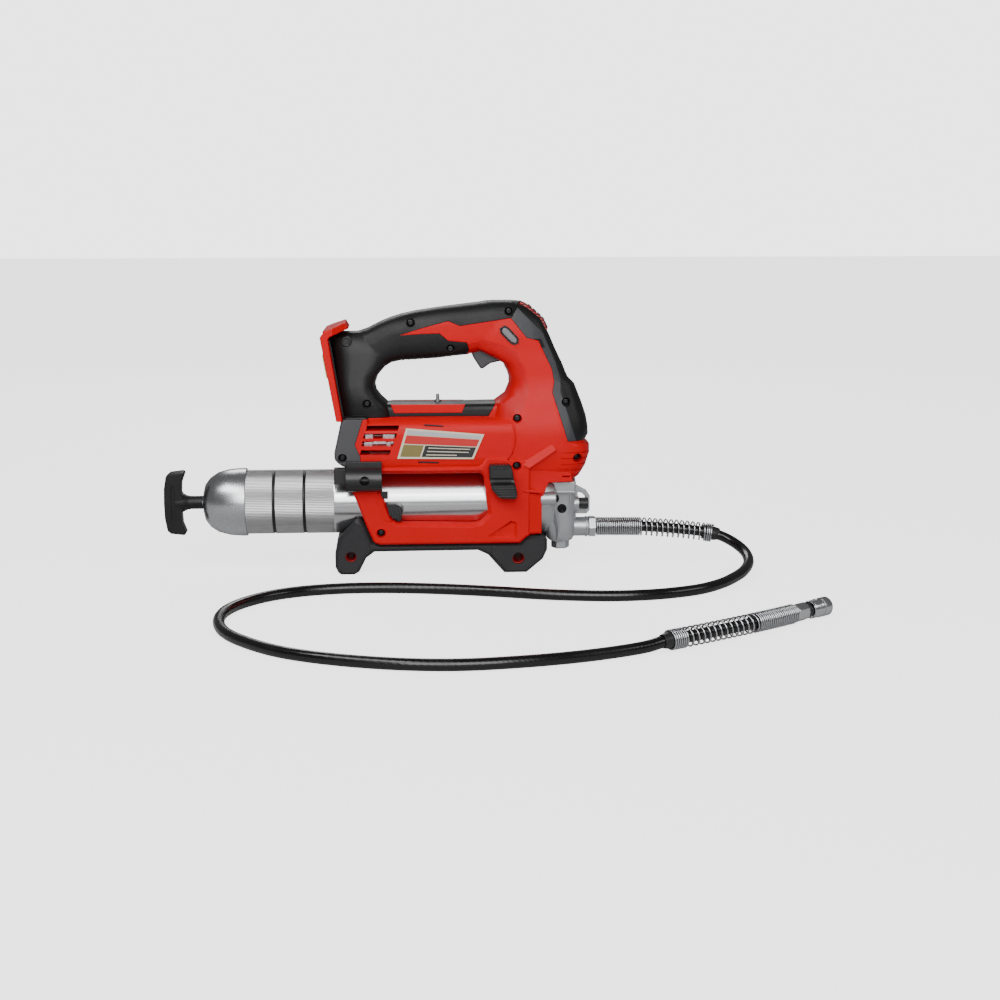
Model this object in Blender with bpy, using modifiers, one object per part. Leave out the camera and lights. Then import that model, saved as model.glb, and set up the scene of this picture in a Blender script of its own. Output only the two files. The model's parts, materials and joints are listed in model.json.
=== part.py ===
"""Cordless grease gun.

Clamshell body over a spring fed grease barrel, with a motor, a planetary gear set, a crank
driven pump, a whip hose and a coupler. Outlines are in millimetres on a drawing whose x = 0
lies FOOT_X behind the front foot. The frame's origin is under the front foot.
"""
import math

import bmesh
import bpy
from mathutils import Matrix, Vector

MM = 0.001
FOOT_X = 122.0
GAP = 0.3

BARREL_Z = 61.3
BARREL_R = 28.75
BARREL_WALL = 1.6
BARREL_BACK = -130.0
BARREL_FRONT = 142.0
CAP_R = 30.5

MOTOR_Z = 116.0
BODY_W = 35.0
FRAME_W = 37.0
FOOT_W = 33.0

PUMP_X = 164.5
STROKE = 6.5
CAM_R = 7.6
OUTLET_Z = 35.0

GEAR_MODULE = 0.75
SUN_TEETH = 12
PLANET_TEETH = 18
RING_TEETH = 48

HOSE_R = 4.7
GUARD_R = 7.8

FAR_TURN = math.radians(35.0)


# ---------------------------------------------------------------- scene and builders

def clear_scene():
    for item in list(bpy.data.objects):
        bpy.data.objects.remove(item, do_unlink=True)


clear_scene()
PARTS = bpy.data.collections.new("grease_gun")
CUTTERS = bpy.data.collections.new("cutters")
bpy.context.scene.collection.children.link(PARTS)
bpy.context.scene.collection.children.link(CUTTERS)

FINISHES = {
    "red_plastic": ((0.62, 0.016, 0.012), 0.0, 0.38),
    "black_rubber": ((0.022, 0.022, 0.024), 0.0, 0.62),
    "grey_plastic": ((0.05, 0.05, 0.055), 0.0, 0.5),
    "cast_aluminium": ((0.52, 0.54, 0.56), 0.85, 0.42),
    "bright_steel": ((0.72, 0.73, 0.74), 1.0, 0.2),
    "dark_steel": ((0.12, 0.12, 0.13), 0.9, 0.4),
    "hose_rubber": ((0.012, 0.012, 0.013), 0.0, 0.25),
    "gear_steel": ((0.42, 0.42, 0.44), 1.0, 0.35),
    "board_green": ((0.02, 0.16, 0.06), 0.0, 0.5),
    "red_lens": ((0.3, 0.01, 0.012), 0.0, 0.12),
    "seal_rubber": ((0.03, 0.02, 0.015), 0.0, 0.7),
}


def material(name):
    found = bpy.data.materials.get(name)
    if found:
        return found
    colour, metallic, roughness = FINISHES[name]
    made = bpy.data.materials.new(name)
    made.use_nodes = True
    shader = made.node_tree.nodes["Principled BSDF"]
    shader.inputs["Base Color"].default_value = (*colour, 1.0)
    shader.inputs["Metallic"].default_value = metallic
    shader.inputs["Roughness"].default_value = roughness
    made.diffuse_color = (*colour, 1.0)
    return made


def place(x, y, z):
    """A drawing point, in metres in the frame."""
    return Vector(((x - FOOT_X) * MM, y * MM, z * MM))


def add(name, bm, finish=None, origin=None):
    """Store a mesh in drawing millimetres as an object, with its origin at a drawing point."""
    bmesh.ops.remove_doubles(bm, verts=bm.verts, dist=0.0005)
    bmesh.ops.recalc_face_normals(bm, faces=bm.faces)
    at = place(*origin) if origin else Vector((0.0, 0.0, 0.0))
    for vert in bm.verts:
        vert.co = place(*vert.co) - at
    mesh = bpy.data.meshes.new(name)
    bm.to_mesh(mesh)
    bm.free()
    made = bpy.data.objects.new(name, mesh)
    made.location = at
    if finish:
        mesh.materials.append(material(finish))
        PARTS.objects.link(made)
    else:
        CUTTERS.objects.link(made)
        made.hide_render = True
        made.display_type = "WIRE"
    return made


def add_prism(bm, outline, y0, y1):
    """A closed outline in x and z, pulled along y."""
    near = [bm.verts.new((x, y0, z)) for x, z in outline]
    far = [bm.verts.new((x, y1, z)) for x, z in outline]
    count = len(outline)
    bm.faces.new(near)
    bm.faces.new(far[::-1])
    for i in range(count):
        j = (i + 1) % count
        bm.faces.new((near[i], far[i], far[j], near[j]))


def prism(name, outline, y0, y1, finish=None, origin=None):
    bm = bmesh.new()
    add_prism(bm, outline, y0, y1)
    return add(name, bm, finish, origin)


def add_box(bm, x0, x1, y0, y1, z0, z1):
    add_prism(bm, [(x0, z0), (x1, z0), (x1, z1), (x0, z1)], y0, y1)


def box(name, x0, x1, y0, y1, z0, z1, finish=None, origin=None):
    bm = bmesh.new()
    add_box(bm, x0, x1, y0, y1, z0, z1)
    return add(name, bm, finish, origin)


TURN = {
    "X": lambda a, r, t: (a, r * math.cos(t), r * math.sin(t)),
    "Y": lambda a, r, t: (r * math.cos(t), a, r * math.sin(t)),
    "Z": lambda a, r, t: (r * math.cos(t), r * math.sin(t), a),
}


def add_lathe(bm, profile, centre, axis="X", steps=32, closed=False, phase=0.0, turn=0.0):
    """Turn a profile of (place along the axis, radius) about an axis through a point."""
    spin = Matrix.Rotation(turn, 4, "Z")
    rows = []
    for along, radius in profile:
        count = 1 if radius == 0.0 else steps
        row = []
        for k in range(count):
            angle = phase + 2.0 * math.pi * k / steps
            row.append(bm.verts.new(Vector(centre) + spin @ Vector(TURN[axis](along, radius, angle))))
        rows.append(row)
    last = len(rows) if closed else len(rows) - 1
    for i in range(last):
        one = rows[i]
        two = rows[(i + 1) % len(rows)]
        for k in range(steps):
            j = (k + 1) % steps
            if len(one) == 1 and len(two) == 1:
                continue
            if len(one) == 1:
                bm.faces.new((one[0], two[j], two[k]))
            elif len(two) == 1:
                bm.faces.new((one[k], one[j], two[0]))
            else:
                bm.faces.new((one[k], one[j], two[j], two[k]))


def lathe(name, profile, centre, axis="X", steps=32, closed=False, finish=None, phase=0.0,
          turn=0.0):
    bm = bmesh.new()
    add_lathe(bm, profile, centre, axis, steps, closed, phase, turn)
    return add(name, bm, finish, centre)


def rod(a0, a1, radius):
    """The profile of a solid round bar."""
    return [(a0, 0.0), (a0, radius), (a1, radius), (a1, 0.0)]


def tube(a0, a1, outer, inner):
    """The profile of a round tube."""
    return [(a0, inner), (a0, outer), (a1, outer), (a1, inner)]


def superellipse(k, count, power):
    t = 2.0 * math.pi * (k + 0.5) / count
    c, s = math.cos(t), math.sin(t)
    u = math.copysign(abs(c) ** (2.0 / power), c)
    v = math.copysign(abs(s) ** (2.0 / power), s)
    return u, v


def loft(name, rings, along, power=3.2, count=24):
    """Skin a stack of rounded sections. Each ring is (station, low, high, half width)."""
    bm = bmesh.new()
    rows = []
    for station, low, high, half in rings:
        mid = (low + high) / 2.0
        reach = (high - low) / 2.0
        row = []
        for k in range(count):
            u, v = superellipse(k, count, power)
            if along == "X":
                row.append(bm.verts.new((station, half * u, mid + reach * v)))
            else:
                row.append(bm.verts.new((mid + reach * u, half * v, station)))
        rows.append(row)
    for one, two in zip(rows, rows[1:]):
        for k in range(count):
            j = (k + 1) % count
            bm.faces.new((one[k], one[j], two[j], two[k]))
    bm.faces.new(rows[0])
    bm.faces.new(rows[-1][::-1])
    return add(name, bm)


def grow(outline, by):
    """Move every side of a closed outline outwards."""
    count = len(outline)
    area = 0.0
    for i in range(count):
        (ax, az), (bx, bz) = outline[i], outline[(i + 1) % count]
        area += ax * bz - bx * az
    side = 1.0 if area > 0.0 else -1.0
    grown = []
    for i in range(count):
        here = Vector(outline[i])
        back = (here - Vector(outline[i - 1])).normalized()
        ahead = (Vector(outline[(i + 1) % count]) - here).normalized()
        n0 = Vector((back.y, -back.x)) * side
        n1 = Vector((ahead.y, -ahead.x)) * side
        mid = n0 + n1
        grown.append(tuple(here + mid * (by / max(0.35, 1.0 + n0.dot(n1)))))
    return grown


def combine(target, other, operation):
    mod = target.modifiers.new(operation.lower() + "_" + other.name, "BOOLEAN")
    mod.operation = operation
    mod.solver = "EXACT"
    mod.object = other


def combine_all(target, others, operation):
    """One Boolean with a group of cutters."""
    label = operation.lower() + "_" + target.name
    group = bpy.data.collections.new(label)
    CUTTERS.children.link(group)
    for other in others:
        if other.name in CUTTERS.objects:
            CUTTERS.objects.unlink(other)
        group.objects.link(other)
    mod = target.modifiers.new(label, "BOOLEAN")
    mod.operation = operation
    mod.solver = "EXACT"
    mod.operand_type = "COLLECTION"
    mod.collection = group


def bevel(target, width, segments=2, angle=30.0):
    mod = target.modifiers.new("edge", "BEVEL")
    mod.width = width * MM
    mod.segments = segments
    mod.limit_method = "ANGLE"
    mod.angle_limit = math.radians(angle)


def sweep(name, path, outer, inner, steps, finish):
    """A round bar, or a tube if inner is set, along a path of drawing points."""
    points = [Vector(p) for p in path]
    bm = bmesh.new()
    rows = []
    side = Vector((0.0, 1.0, 0.0))
    for i, point in enumerate(points):
        ahead = points[min(i + 1, len(points) - 1)]
        behind = points[max(i - 1, 0)]
        way = (ahead - behind).normalized()
        side = (side - way * side.dot(way)).normalized()
        up = way.cross(side)
        rings = []
        for radius in ((outer, inner) if inner else (outer,)):
            row = []
            for k in range(steps):
                t = 2.0 * math.pi * k / steps
                row.append(bm.verts.new(point + side * math.cos(t) * radius + up * math.sin(t) * radius))
            rings.append(row)
        rows.append(rings)
    for one, two in zip(rows, rows[1:]):
        for a, b in zip(one, two):
            for k in range(steps):
                j = (k + 1) % steps
                bm.faces.new((a[k], a[j], b[j], b[k]))
    for end in (rows[0], rows[-1]):
        if inner:
            for k in range(steps):
                j = (k + 1) % steps
                bm.faces.new((end[0][k], end[0][j], end[1][j], end[1][k]))
        else:
            bm.faces.new(end[0])
    return add(name, bm, finish)


# ---------------------------------------------------------------- body outlines

RECEIVER = [(-36.0, 137.3), (-30.6, 137.3), (-42.0, 209.0), (-40.5, 211.5), (-27.5, 216.6), (-24.0, 217.8),
            (-27.5, 223.0), (-45.0, 216.2), (-49.0, 211.0)]

GRIP_REGION = [(-70.0, 139.8), (-70.0, 260.0), (127.0, 260.0), (127.0, 241.0), (117.7, 226.4), (73.0, 219.8),
               (63.0, 223.9), (40.0, 217.9), (19.8, 211.4), (38.0, 212.3), (55.0, 212.8), (63.0, 206.3),
               (79.0, 204.8), (81.3, 198.1), (78.0, 192.7), (78.0, 184.0), (98.0, 158.0), (104.6, 151.0),
               (98.0, 139.8)]

BUMPER_REGION = [(118.2, 226.2), (127.7, 241.2), (150.0, 260.0), (230.0, 260.0), (230.0, 118.6), (167.6, 118.6),
                 (154.5, 161.5), (156.3, 170.5), (154.3, 181.3), (142.5, 206.5), (131.7, 209.2)]

CAP_REGION = [(-70.0, 139.5), (-13.0, 139.5), (-20.0, 117.0), (-15.5, 107.0), (-15.5, 96.5), (-70.0, 96.5)]

FRAME_OUTLINE = [(-29.0, 97.0), (-22.0, 75.0), (-10.0, 43.0), (-4.5, 30.0), (1.0, 28.0), (125.0, 28.0),
                 (131.0, 33.5), (134.0, 34.3), (134.0, 102.0), (96.0, 106.0), (90.0, 97.5)]

FRAME_WINDOW = [(2.0, 91.2), (2.0, 75.0), (12.5, 50.5), (16.5, 47.6), (84.0, 45.8), (90.0, 47.5), (97.0, 55.0),
                (93.0, 88.2), (90.4, 91.2)]

NOSE_OUTLINE = [(128.0, 34.6), (144.6, 36.0), (144.6, 67.0), (150.4, 81.9), (172.0, 82.7), (170.0, 91.0),
                (128.0, 93.0)]

LENS = [(127.0, 240.4), (133.8, 237.0), (146.9, 225.4), (151.5, 215.4), (147.0, 213.2), (141.0, 221.5),
        (130.5, 231.0), (124.6, 235.0)]

BUTTON = [(109.6, 216.6), (110.2, 213.6), (117.8, 205.8), (120.8, 204.2), (123.2, 205.2), (123.2, 208.2),
          (115.6, 216.4), (112.6, 218.4)]

TRIGGER = [(82.6, 196.6), (86.0, 189.3), (91.5, 181.0), (93.3, 180.2), (100.4, 185.2), (107.7, 186.9),
           (112.4, 187.0), (112.4, 203.0), (84.2, 203.0), (82.6, 201.0)]


def body_master():
    """The whole moulded body as one solid, before it is shared out between its mouldings."""
    body = loft("body_motor", [(-13.0, 92.0, 139.1, 34.0), (-10.0, 91.5, 139.4, BODY_W),
                               (60.0, 91.5, 139.4, BODY_W), (100.0, 91.5, 139.4, BODY_W),
                               (118.0, 90.0, 139.9, BODY_W), (130.0, 88.0, 137.4, 32.0)], "X", 5.0)
    front = loft("body_front", [
        (81.6, 130.0, 175.5, 25.0), (86.0, 118.0, 180.5, 30.0), (95.0, 104.0, 186.0, 34.0),
        (106.0, 102.0, 189.4, BODY_W), (113.4, 102.0, 189.2, BODY_W), (116.2, 102.0, 184.6, BODY_W),
        (122.7, 102.0, 188.0, BODY_W), (130.0, 102.0, 187.6, 34.0), (139.4, 102.0, 185.9, 32.0),
        (151.0, 104.0, 182.0, 27.5), (158.0, 113.5, 179.2, 25.0), (167.2, 117.3, 175.6, 23.0),
        (172.8, 117.2, 169.9, 22.0), (178.0, 115.6, 167.5, 21.5), (186.0, 111.0, 164.3, 21.0),
        (192.0, 100.0, 161.3, 20.5), (200.0, 84.0, 157.6, 20.0), (208.0, 80.0, 154.2, 20.0),
        (216.0, 80.0, 150.5, 19.5), (225.0, 82.0, 145.9, 18.0), (232.0, 85.0, 138.0, 16.0),
        (236.5, 88.0, 132.6, 13.0), (240.4, 95.0, 125.5, 7.0)], "Z", 3.4)
    grip = loft("body_grip", [
        (-24.0, 186.0, 213.0, 12.0), (-16.0, 178.0, 214.4, 15.5), (-8.0, 176.0, 217.0, 17.5),
        (4.0, 181.0, 223.0, 18.0), (13.0, 186.5, 226.6, 18.0), (22.0, 188.4, 229.4, 17.8),
        (35.0, 189.0, 232.2, 17.5), (53.0, 190.0, 234.9, 17.5), (66.0, 191.7, 236.6, 18.2),
        (80.0, 193.0, 238.2, 19.0), (102.0, 198.0, 240.9, 19.0), (120.0, 206.0, 240.9, 17.5)], "X", 2.9)
    post = loft("body_post", [
        (137.0, -30.2, 14.0, 24.0), (146.0, -31.6, 12.0, 25.0), (151.5, -32.5, 9.0, 25.5),
        (156.0, -33.2, 4.0, 25.5), (162.0, -34.2, -0.4, 25.0), (168.0, -35.1, -1.6, 24.0),
        (176.0, -36.4, 1.0, 22.5), (184.0, -37.6, 8.0, 21.0), (194.0, -39.2, 12.0, 19.5),
        (204.0, -40.8, 10.0, 17.5), (210.0, -41.5, 4.0, 14.5), (213.5, -36.0, -4.0, 10.0)], "Z", 3.2)
    spine = loft("body_spine", [(-2.0, 130.0, 151.2, 17.0), (12.0, 130.0, 151.0, 17.0),
                                (60.0, 130.0, 150.6, 17.0), (116.0, 130.0, 151.4, 18.0)], "X", 4.5)
    rear = prism("body_rear", [(-8.0, 142.0), (-27.0, 142.0), (-32.0, 137.4), (-38.2, 110.0), (-38.2, 103.6),
                               (-31.5, 97.6), (-8.0, 94.0)], -34.0, 34.0)
    bevel(rear, 3.0, 2)
    frame = prism("body_frame", FRAME_OUTLINE, -FRAME_W, FRAME_W)
    bevel(frame, 1.6, 1, 45.0)
    nose = prism("body_nose", NOSE_OUTLINE, -33.0, 33.0)
    combine_all(body, (front, grip, post, spine, rear, frame, nose), "UNION")
    return body


def body_cutters(body):
    window = prism("cut_frame_window", FRAME_WINDOW, -60.0, 60.0)
    bore = lathe("cut_barrel_bore", [(-70.0, 0.0), (-70.0, BARREL_R + 0.55), (120.9, BARREL_R + 0.55),
                                     (120.9, 31.7), (145.7, 31.7), (145.7, 0.0)], (0.0, 0.0, BARREL_Z), steps=40)
    drive = lathe("cut_drive", [(-32.5, 0.0), (-32.5, 17.0), (-15.0, 17.0), (-15.0, 20.6), (61.5, 20.6),
                                (61.5, 22.1), (92.5, 22.1), (92.5, 11.2), (152.0, 11.2), (152.0, 0.0)],
                  (0.0, 0.0, MOTOR_Z), steps=32)
    crank = box("cut_crank_room", 151.0, 174.3, -13.0, 13.0, 70.0, 132.0)
    neck = prism("cut_neck_room", [(126.0, 142.0), (126.0, 160.0), (124.0, 178.0), (129.0, 196.0), (134.0, 202.0),
                                   (144.0, 192.0), (152.0, 170.0), (160.0, 142.0)], -13.0, 13.0)
    hollow = prism("cut_grip_room", [(-26.0, 150.0), (-14.0, 150.0), (-13.0, 186.0), (0.0, 200.0), (20.0, 205.0),
                                     (60.0, 206.0), (78.0, 212.0), (78.0, 226.0), (40.0, 221.0), (10.0, 213.0),
                                     (-14.0, 205.0), (-30.0, 200.0)], -11.0, 11.0)
    room = box("cut_switch_room", 77.0, 118.2, -9.5, 9.5, 208.4, 230.0)
    slot = prism("cut_trigger_slot", [(81.7, 176.0), (81.7, 209.5), (113.4, 209.5), (113.4, 176.0)], -8.6, 8.6)
    button = prism("cut_button_hole", grow(BUTTON, 0.4), -60.0, 60.0)
    receiver = prism("cut_receiver", grow(RECEIVER, GAP), -50.0, 50.0)
    holes = bmesh.new()
    for x, z, face in ((30.0, 222.3, 12.6), (116.3, 232.0, 12.0), (65.0, 199.3, 12.6), (-9.0, 152.0, 20.0),
                       (166.5, 152.5, 19.0), (123.0, 139.0, 27.0), (122.2, 97.6, 31.0), (176.4, 103.3, 19.0),
                       (-31.0, 105.5, 28.0), (2.0, 38.5, 32.0)):
        add_lathe(holes, rod(-60.0, -face, 4.0), (x, 0.0, z), "Y", 16)
    screw = add("cut_screw_holes", holes)
    slots = bmesh.new()
    for i, (x, z, length) in enumerate(((-9.0, 134.0, 28.0), (-11.5, 127.2, 28.5), (-13.0, 120.4, 27.5),
                                        (-14.5, 112.6, 26.0))):
        outline = [(x, z), (x + length, z), (x + length - 1.2, z - 4.3), (x - 1.2, z - 4.3)]
        add_prism(slots, outline, -60.0, -12.0)
        add_prism(slots, outline, 12.0, 60.0)
    vents = add("cut_vents", slots)
    combine_all(body, (window, bore, drive, crank, neck, hollow, room, slot, button, receiver, screw,
                       vents), "DIFFERENCE")


def mouldings():
    """Share the body out between the two red shells, the grip, the bumper and the end cap."""
    body = body_master()
    body_cutters(body)
    grip_cut = prism("cut_grip_region", grow(GRIP_REGION, GAP), -70.0, 70.0)
    bumper_cut = prism("cut_bumper_region", grow(BUMPER_REGION, GAP), -70.0, 70.0)
    cap_cut = prism("cut_cap_region", grow(CAP_REGION, GAP), -70.0, 70.0)
    lens_cut = prism("cut_lens", grow(LENS, GAP), -10.0, 10.0)
    for side, y0, y1 in (("left", -65.0, -0.1), ("right", 0.1, 65.0)):
        shell = box("housing_" + side, -65.0, 210.0, y0, y1, 15.0, 255.0, "red_plastic")
        combine(shell, body, "INTERSECT")
        combine_all(shell, (grip_cut, bumper_cut, cap_cut), "DIFFERENCE")
        grip = prism("grip_" + side, GRIP_REGION, y0, y1, "black_rubber")
        combine(grip, body, "INTERSECT")
        combine(grip, lens_cut, "DIFFERENCE")
    bumper = prism("front_bumper", BUMPER_REGION, -65.0, 65.0, "black_rubber")
    combine(bumper, body, "INTERSECT")
    combine(bumper, lens_cut, "DIFFERENCE")
    cap = prism("motor_end_cap", CAP_REGION, -65.0, 65.0, "grey_plastic")
    combine(cap, body, "INTERSECT")
    lens = prism("led_lens", LENS, -9.7, 9.7, "red_lens")
    bevel(lens, 0.8, 1, 40.0)


# ---------------------------------------------------------------- outside fittings

def boot():
    made = prism("lower_boot", [
        (-22.5, 47.5), (-36.0, 32.0), (-39.0, 19.5), (-39.0, 4.0), (-34.0, 0.0), (-19.0, 0.0), (-11.5, 15.0),
        (-4.0, 20.5), (88.0, 20.8), (97.0, 16.5), (111.5, 0.0), (131.5, 0.0), (146.0, 12.0), (150.0, 20.5),
        (150.0, 29.8), (146.0, 33.4), (134.4, 33.8), (131.2, 33.1), (125.2, 27.7), (0.6, 27.7), (-5.0, 29.6),
        (-10.6, 43.2), (-13.4, 50.0), (-20.0, 50.0)], -FOOT_W, FOOT_W, "black_rubber")
    bevel(made, 3.0, 1, 50.0)
    bore = lathe("cut_boot_bore", rod(-60.0, 160.0, BARREL_R + 0.6), (0.0, 0.0, BARREL_Z), steps=40)
    head = lathe("cut_boot_head", rod(120.0, 160.0, 32.0), (0.0, 0.0, BARREL_Z), steps=40)
    eyes = bmesh.new()
    add_lathe(eyes, rod(-50.0, 50.0, 5.0), (-25.0, 0.0, 16.5), "Y", 20)
    add_lathe(eyes, rod(-50.0, 50.0, 5.4), (124.0, 0.0, 13.5), "Y", 20)
    holes = add("cut_boot_eyes", eyes)
    for other in (bore, head, holes):
        combine(made, other, "DIFFERENCE")


def along_receiver(near, far):
    """A band behind the receiver's sloping face, between two depths."""
    low, high = Vector((-36.0, 137.3)), Vector((-49.0, 211.0))
    way = (high - low).normalized()
    into = Vector((way.y, -way.x))
    a, b = low - way * 8.0, high + way * 12.0
    return [tuple(a + into * near), tuple(a + into * far), tuple(b + into * far), tuple(b + into * near)]


def receiver():
    made = prism("battery_receiver", RECEIVER, -31.0, 31.0, "red_plastic")
    taper = bmesh.new()
    for side in (-1.0, 1.0):
        rows = [(-38.5, 31.4), (-20.0, 14.0), (-20.0, 40.0), (-38.5, 40.0)]
        low = [taper.verts.new((x, y * side, 211.2)) for x, y in rows]
        top = [taper.verts.new((x, y * side, 230.0)) for x, y in rows]
        taper.faces.new(low)
        taper.faces.new(top[::-1])
        for i in range(4):
            j = (i + 1) % 4
            taper.faces.new((low[i], top[i], top[j], low[j]))
    corner = add("cut_receiver_taper", taper)
    mouth = prism("cut_receiver_mouth", along_receiver(-5.0, 3.2), -22.5, 22.5)
    groove = prism("cut_receiver_groove", along_receiver(1.8, 3.2), -27.5, 27.5)
    for other in (corner, mouth, groove):
        combine(made, other, "DIFFERENCE")
    block = prism("terminal_block", [(-42.1, 170.0), (-46.9, 197.0), (-43.4, 197.0), (-38.6, 170.0)],
                  -14.0, 14.0, "black_rubber")
    bevel(block, 0.6, 1, 40.0)


def clips():
    rear = lathe("rear_hose_clip", rod(-28.0, 3.4, 11.0), (0.0, -40.5, 88.0), steps=28, finish="black_rubber")
    way = lathe("cut_rear_clip_way", rod(-40.0, 20.0, 5.0), (0.0, -43.8, 88.0), steps=20)
    eye = lathe("cut_rear_clip_eye", rod(-60.0, -42.0, 4.2), (-11.6, 0.0, 88.0), "Y", 18)
    keep = prism("cut_rear_clip_back", [(-30.0, 104.0), (-30.0, 60.0), (6.0, 60.0), (6.0, 104.0)], -37.3, -20.0)
    combine_all(rear, (way, eye, keep), "DIFFERENCE")
    front = prism("front_hose_clip", [(97.0, 100.5), (97.6, 88.5), (99.6, 78.5), (106.5, 71.0), (121.5, 70.0),
                                      (121.6, 76.0), (116.4, 100.5)], -50.0, -37.3, "black_rubber")
    bevel(front, 1.5, 1, 40.0)
    lane = lathe("cut_front_clip_way", rod(80.0, 140.0, 5.0), (0.0, -43.8, 86.0), steps=20)
    mouth = box("cut_front_clip_mouth", 80.0, 140.0, -60.0, -43.8, 82.6, 89.4)
    combine(front, lane, "DIFFERENCE")
    combine(front, mouth, "DIFFERENCE")
    pad = prism("barrel_release_pad", [(9.3, 60.6), (13.7, 51.2), (16.8, 48.6), (18.6, 48.6), (20.6, 51.0),
                                       (20.6, 57.6), (18.0, 60.6)], -36.4, -30.2, "black_rubber")
    bevel(pad, 1.0, 1, 40.0)


def label():
    prism("label_plate", [(17.0, 105.0), (25.0, 132.0), (93.5, 126.0), (84.0, 104.0)], -35.7, -35.25,
          "grey_plastic")


# ---------------------------------------------------------------- barrel and follower

def barrel():
    mid = (0.0, 0.0, BARREL_Z)
    lathe("barrel_tube", tube(BARREL_BACK, BARREL_FRONT, BARREL_R, BARREL_R - BARREL_WALL), mid, steps=48,
          closed=True, finish="bright_steel")
    lathe("barrel_cap", [(-156.5, 4.5), (-156.5, 9.0), (-154.6, 16.5), (-150.0, 22.4), (-143.0, 27.0),
                         (-133.0, 29.7), (-123.0, CAP_R), (-117.6, CAP_R), (-117.6, 29.05), (-130.4, 29.05),
                         (-130.4, 26.4), (-138.0, 25.0), (-146.0, 20.6), (-151.0, 14.6), (-153.0, 9.0),
                         (-153.0, 4.5)], mid, steps=40, closed=True, finish="bright_steel")
    lathe("barrel_seal", tube(142.3, 144.6, 28.6, 23.0), mid, steps=32, closed=True, finish="seal_rubber")
    lathe("plunger_rod", rod(-180.0, 112.5, 4.0), mid, steps=16, finish="bright_steel")
    lathe("follower_piston", [(100.0, 4.3), (100.0, 25.0), (103.0, 25.0), (103.0, 22.0), (110.0, 22.0),
                              (110.0, 26.6), (112.0, 26.6), (116.0, 24.0), (116.0, 4.3)], mid, steps=32,
          closed=True, finish="seal_rubber")
    handle = prism("t_handle", [
        (-189.0, 86.0), (-186.0, 88.6), (-173.0, 90.2), (-172.6, 88.0), (-175.6, 80.0), (-176.2, 71.0),
        (-174.5, 67.6), (-174.5, 55.0), (-176.2, 51.6), (-175.6, 42.6), (-172.6, 34.6), (-173.0, 32.4),
        (-186.0, 34.0), (-189.0, 36.6), (-191.0, 48.0), (-191.4, 61.3), (-191.0, 74.6)], -8.0, 8.0,
        "black_rubber", mid)
    bevel(handle, 2.2, 2, 60.0)
    stem = lathe("add_handle_stem", [(-183.0, 0.0), (-183.0, 8.6), (-175.0, 8.6), (-171.0, 6.6), (-168.0, 6.0),
                                     (-157.4, 6.0), (-157.4, 0.0)], mid, steps=20)
    combine(handle, stem, "UNION")
    hole = lathe("cut_handle_rod", rod(-181.0, -150.0, 4.2), mid, steps=16)
    combine(handle, hole, "DIFFERENCE")
    follower_spring(mid)


def follower_spring(mid):
    turns, wire, radius = 13, 1.2, 21.0
    start, end = -135.0, 98.4
    per_turn = 12
    total = turns * per_turn
    line = []
    for k in range(total + 1):
        t = 2.0 * math.pi * k / per_turn
        line.append((start + (end - start) * k / total, radius * math.cos(t), BARREL_Z + radius * math.sin(t)))
    sweep("follower_spring", line, wire, 0.0, 5, "bright_steel")


# ---------------------------------------------------------------- motor and gears

def gear_ring(teeth, inner, outer, low, high, phase):
    """The points of a toothed outline: low is the tooth's share at its foot, high at its tip."""
    pitch = 2.0 * math.pi / teeth
    line = []
    for k in range(teeth):
        at = phase + k * pitch
        line.append((inner, at - low * pitch / 2.0))
        line.append((outer, at - high * pitch / 2.0))
        line.append((outer, at + high * pitch / 2.0))
        line.append((inner, at + low * pitch / 2.0))
    return line


def gear(name, teeth, foot, tip, bore, x0, x1, centre, phase, internal=False, finish="gear_steel"):
    """A spur gear about X. An internal gear has its plain rim at the bore radius."""
    edge = gear_ring(teeth, foot, tip, 0.46, 0.2, phase)
    bm = bmesh.new()
    rows = []
    for x in (x0, x1):
        toothed = [bm.verts.new((x, centre[1] + r * math.cos(a), centre[2] + r * math.sin(a))) for r, a in edge]
        plain = [bm.verts.new((x, centre[1] + bore * math.cos(a), centre[2] + bore * math.sin(a)))
                 for r, a in edge]
        rows.append((toothed, plain))
    count = len(edge)
    for k in range(count):
        j = (k + 1) % count
        for line in (0, 1):
            bm.faces.new((rows[0][line][k], rows[0][line][j], rows[1][line][j], rows[1][line][k]))
        for row in rows:
            bm.faces.new((row[0][k], row[0][j], row[1][j], row[1][k]))
    return add(name, bm, finish, centre)


def mesh_phase(at, sun_phase):
    """The planet's tooth phase that meshes with the sun, for a planet at an angle."""
    share = (at - sun_phase) * SUN_TEETH / (2.0 * math.pi)
    return at + math.pi - (0.5 - share) * 2.0 * math.pi / PLANET_TEETH


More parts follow.
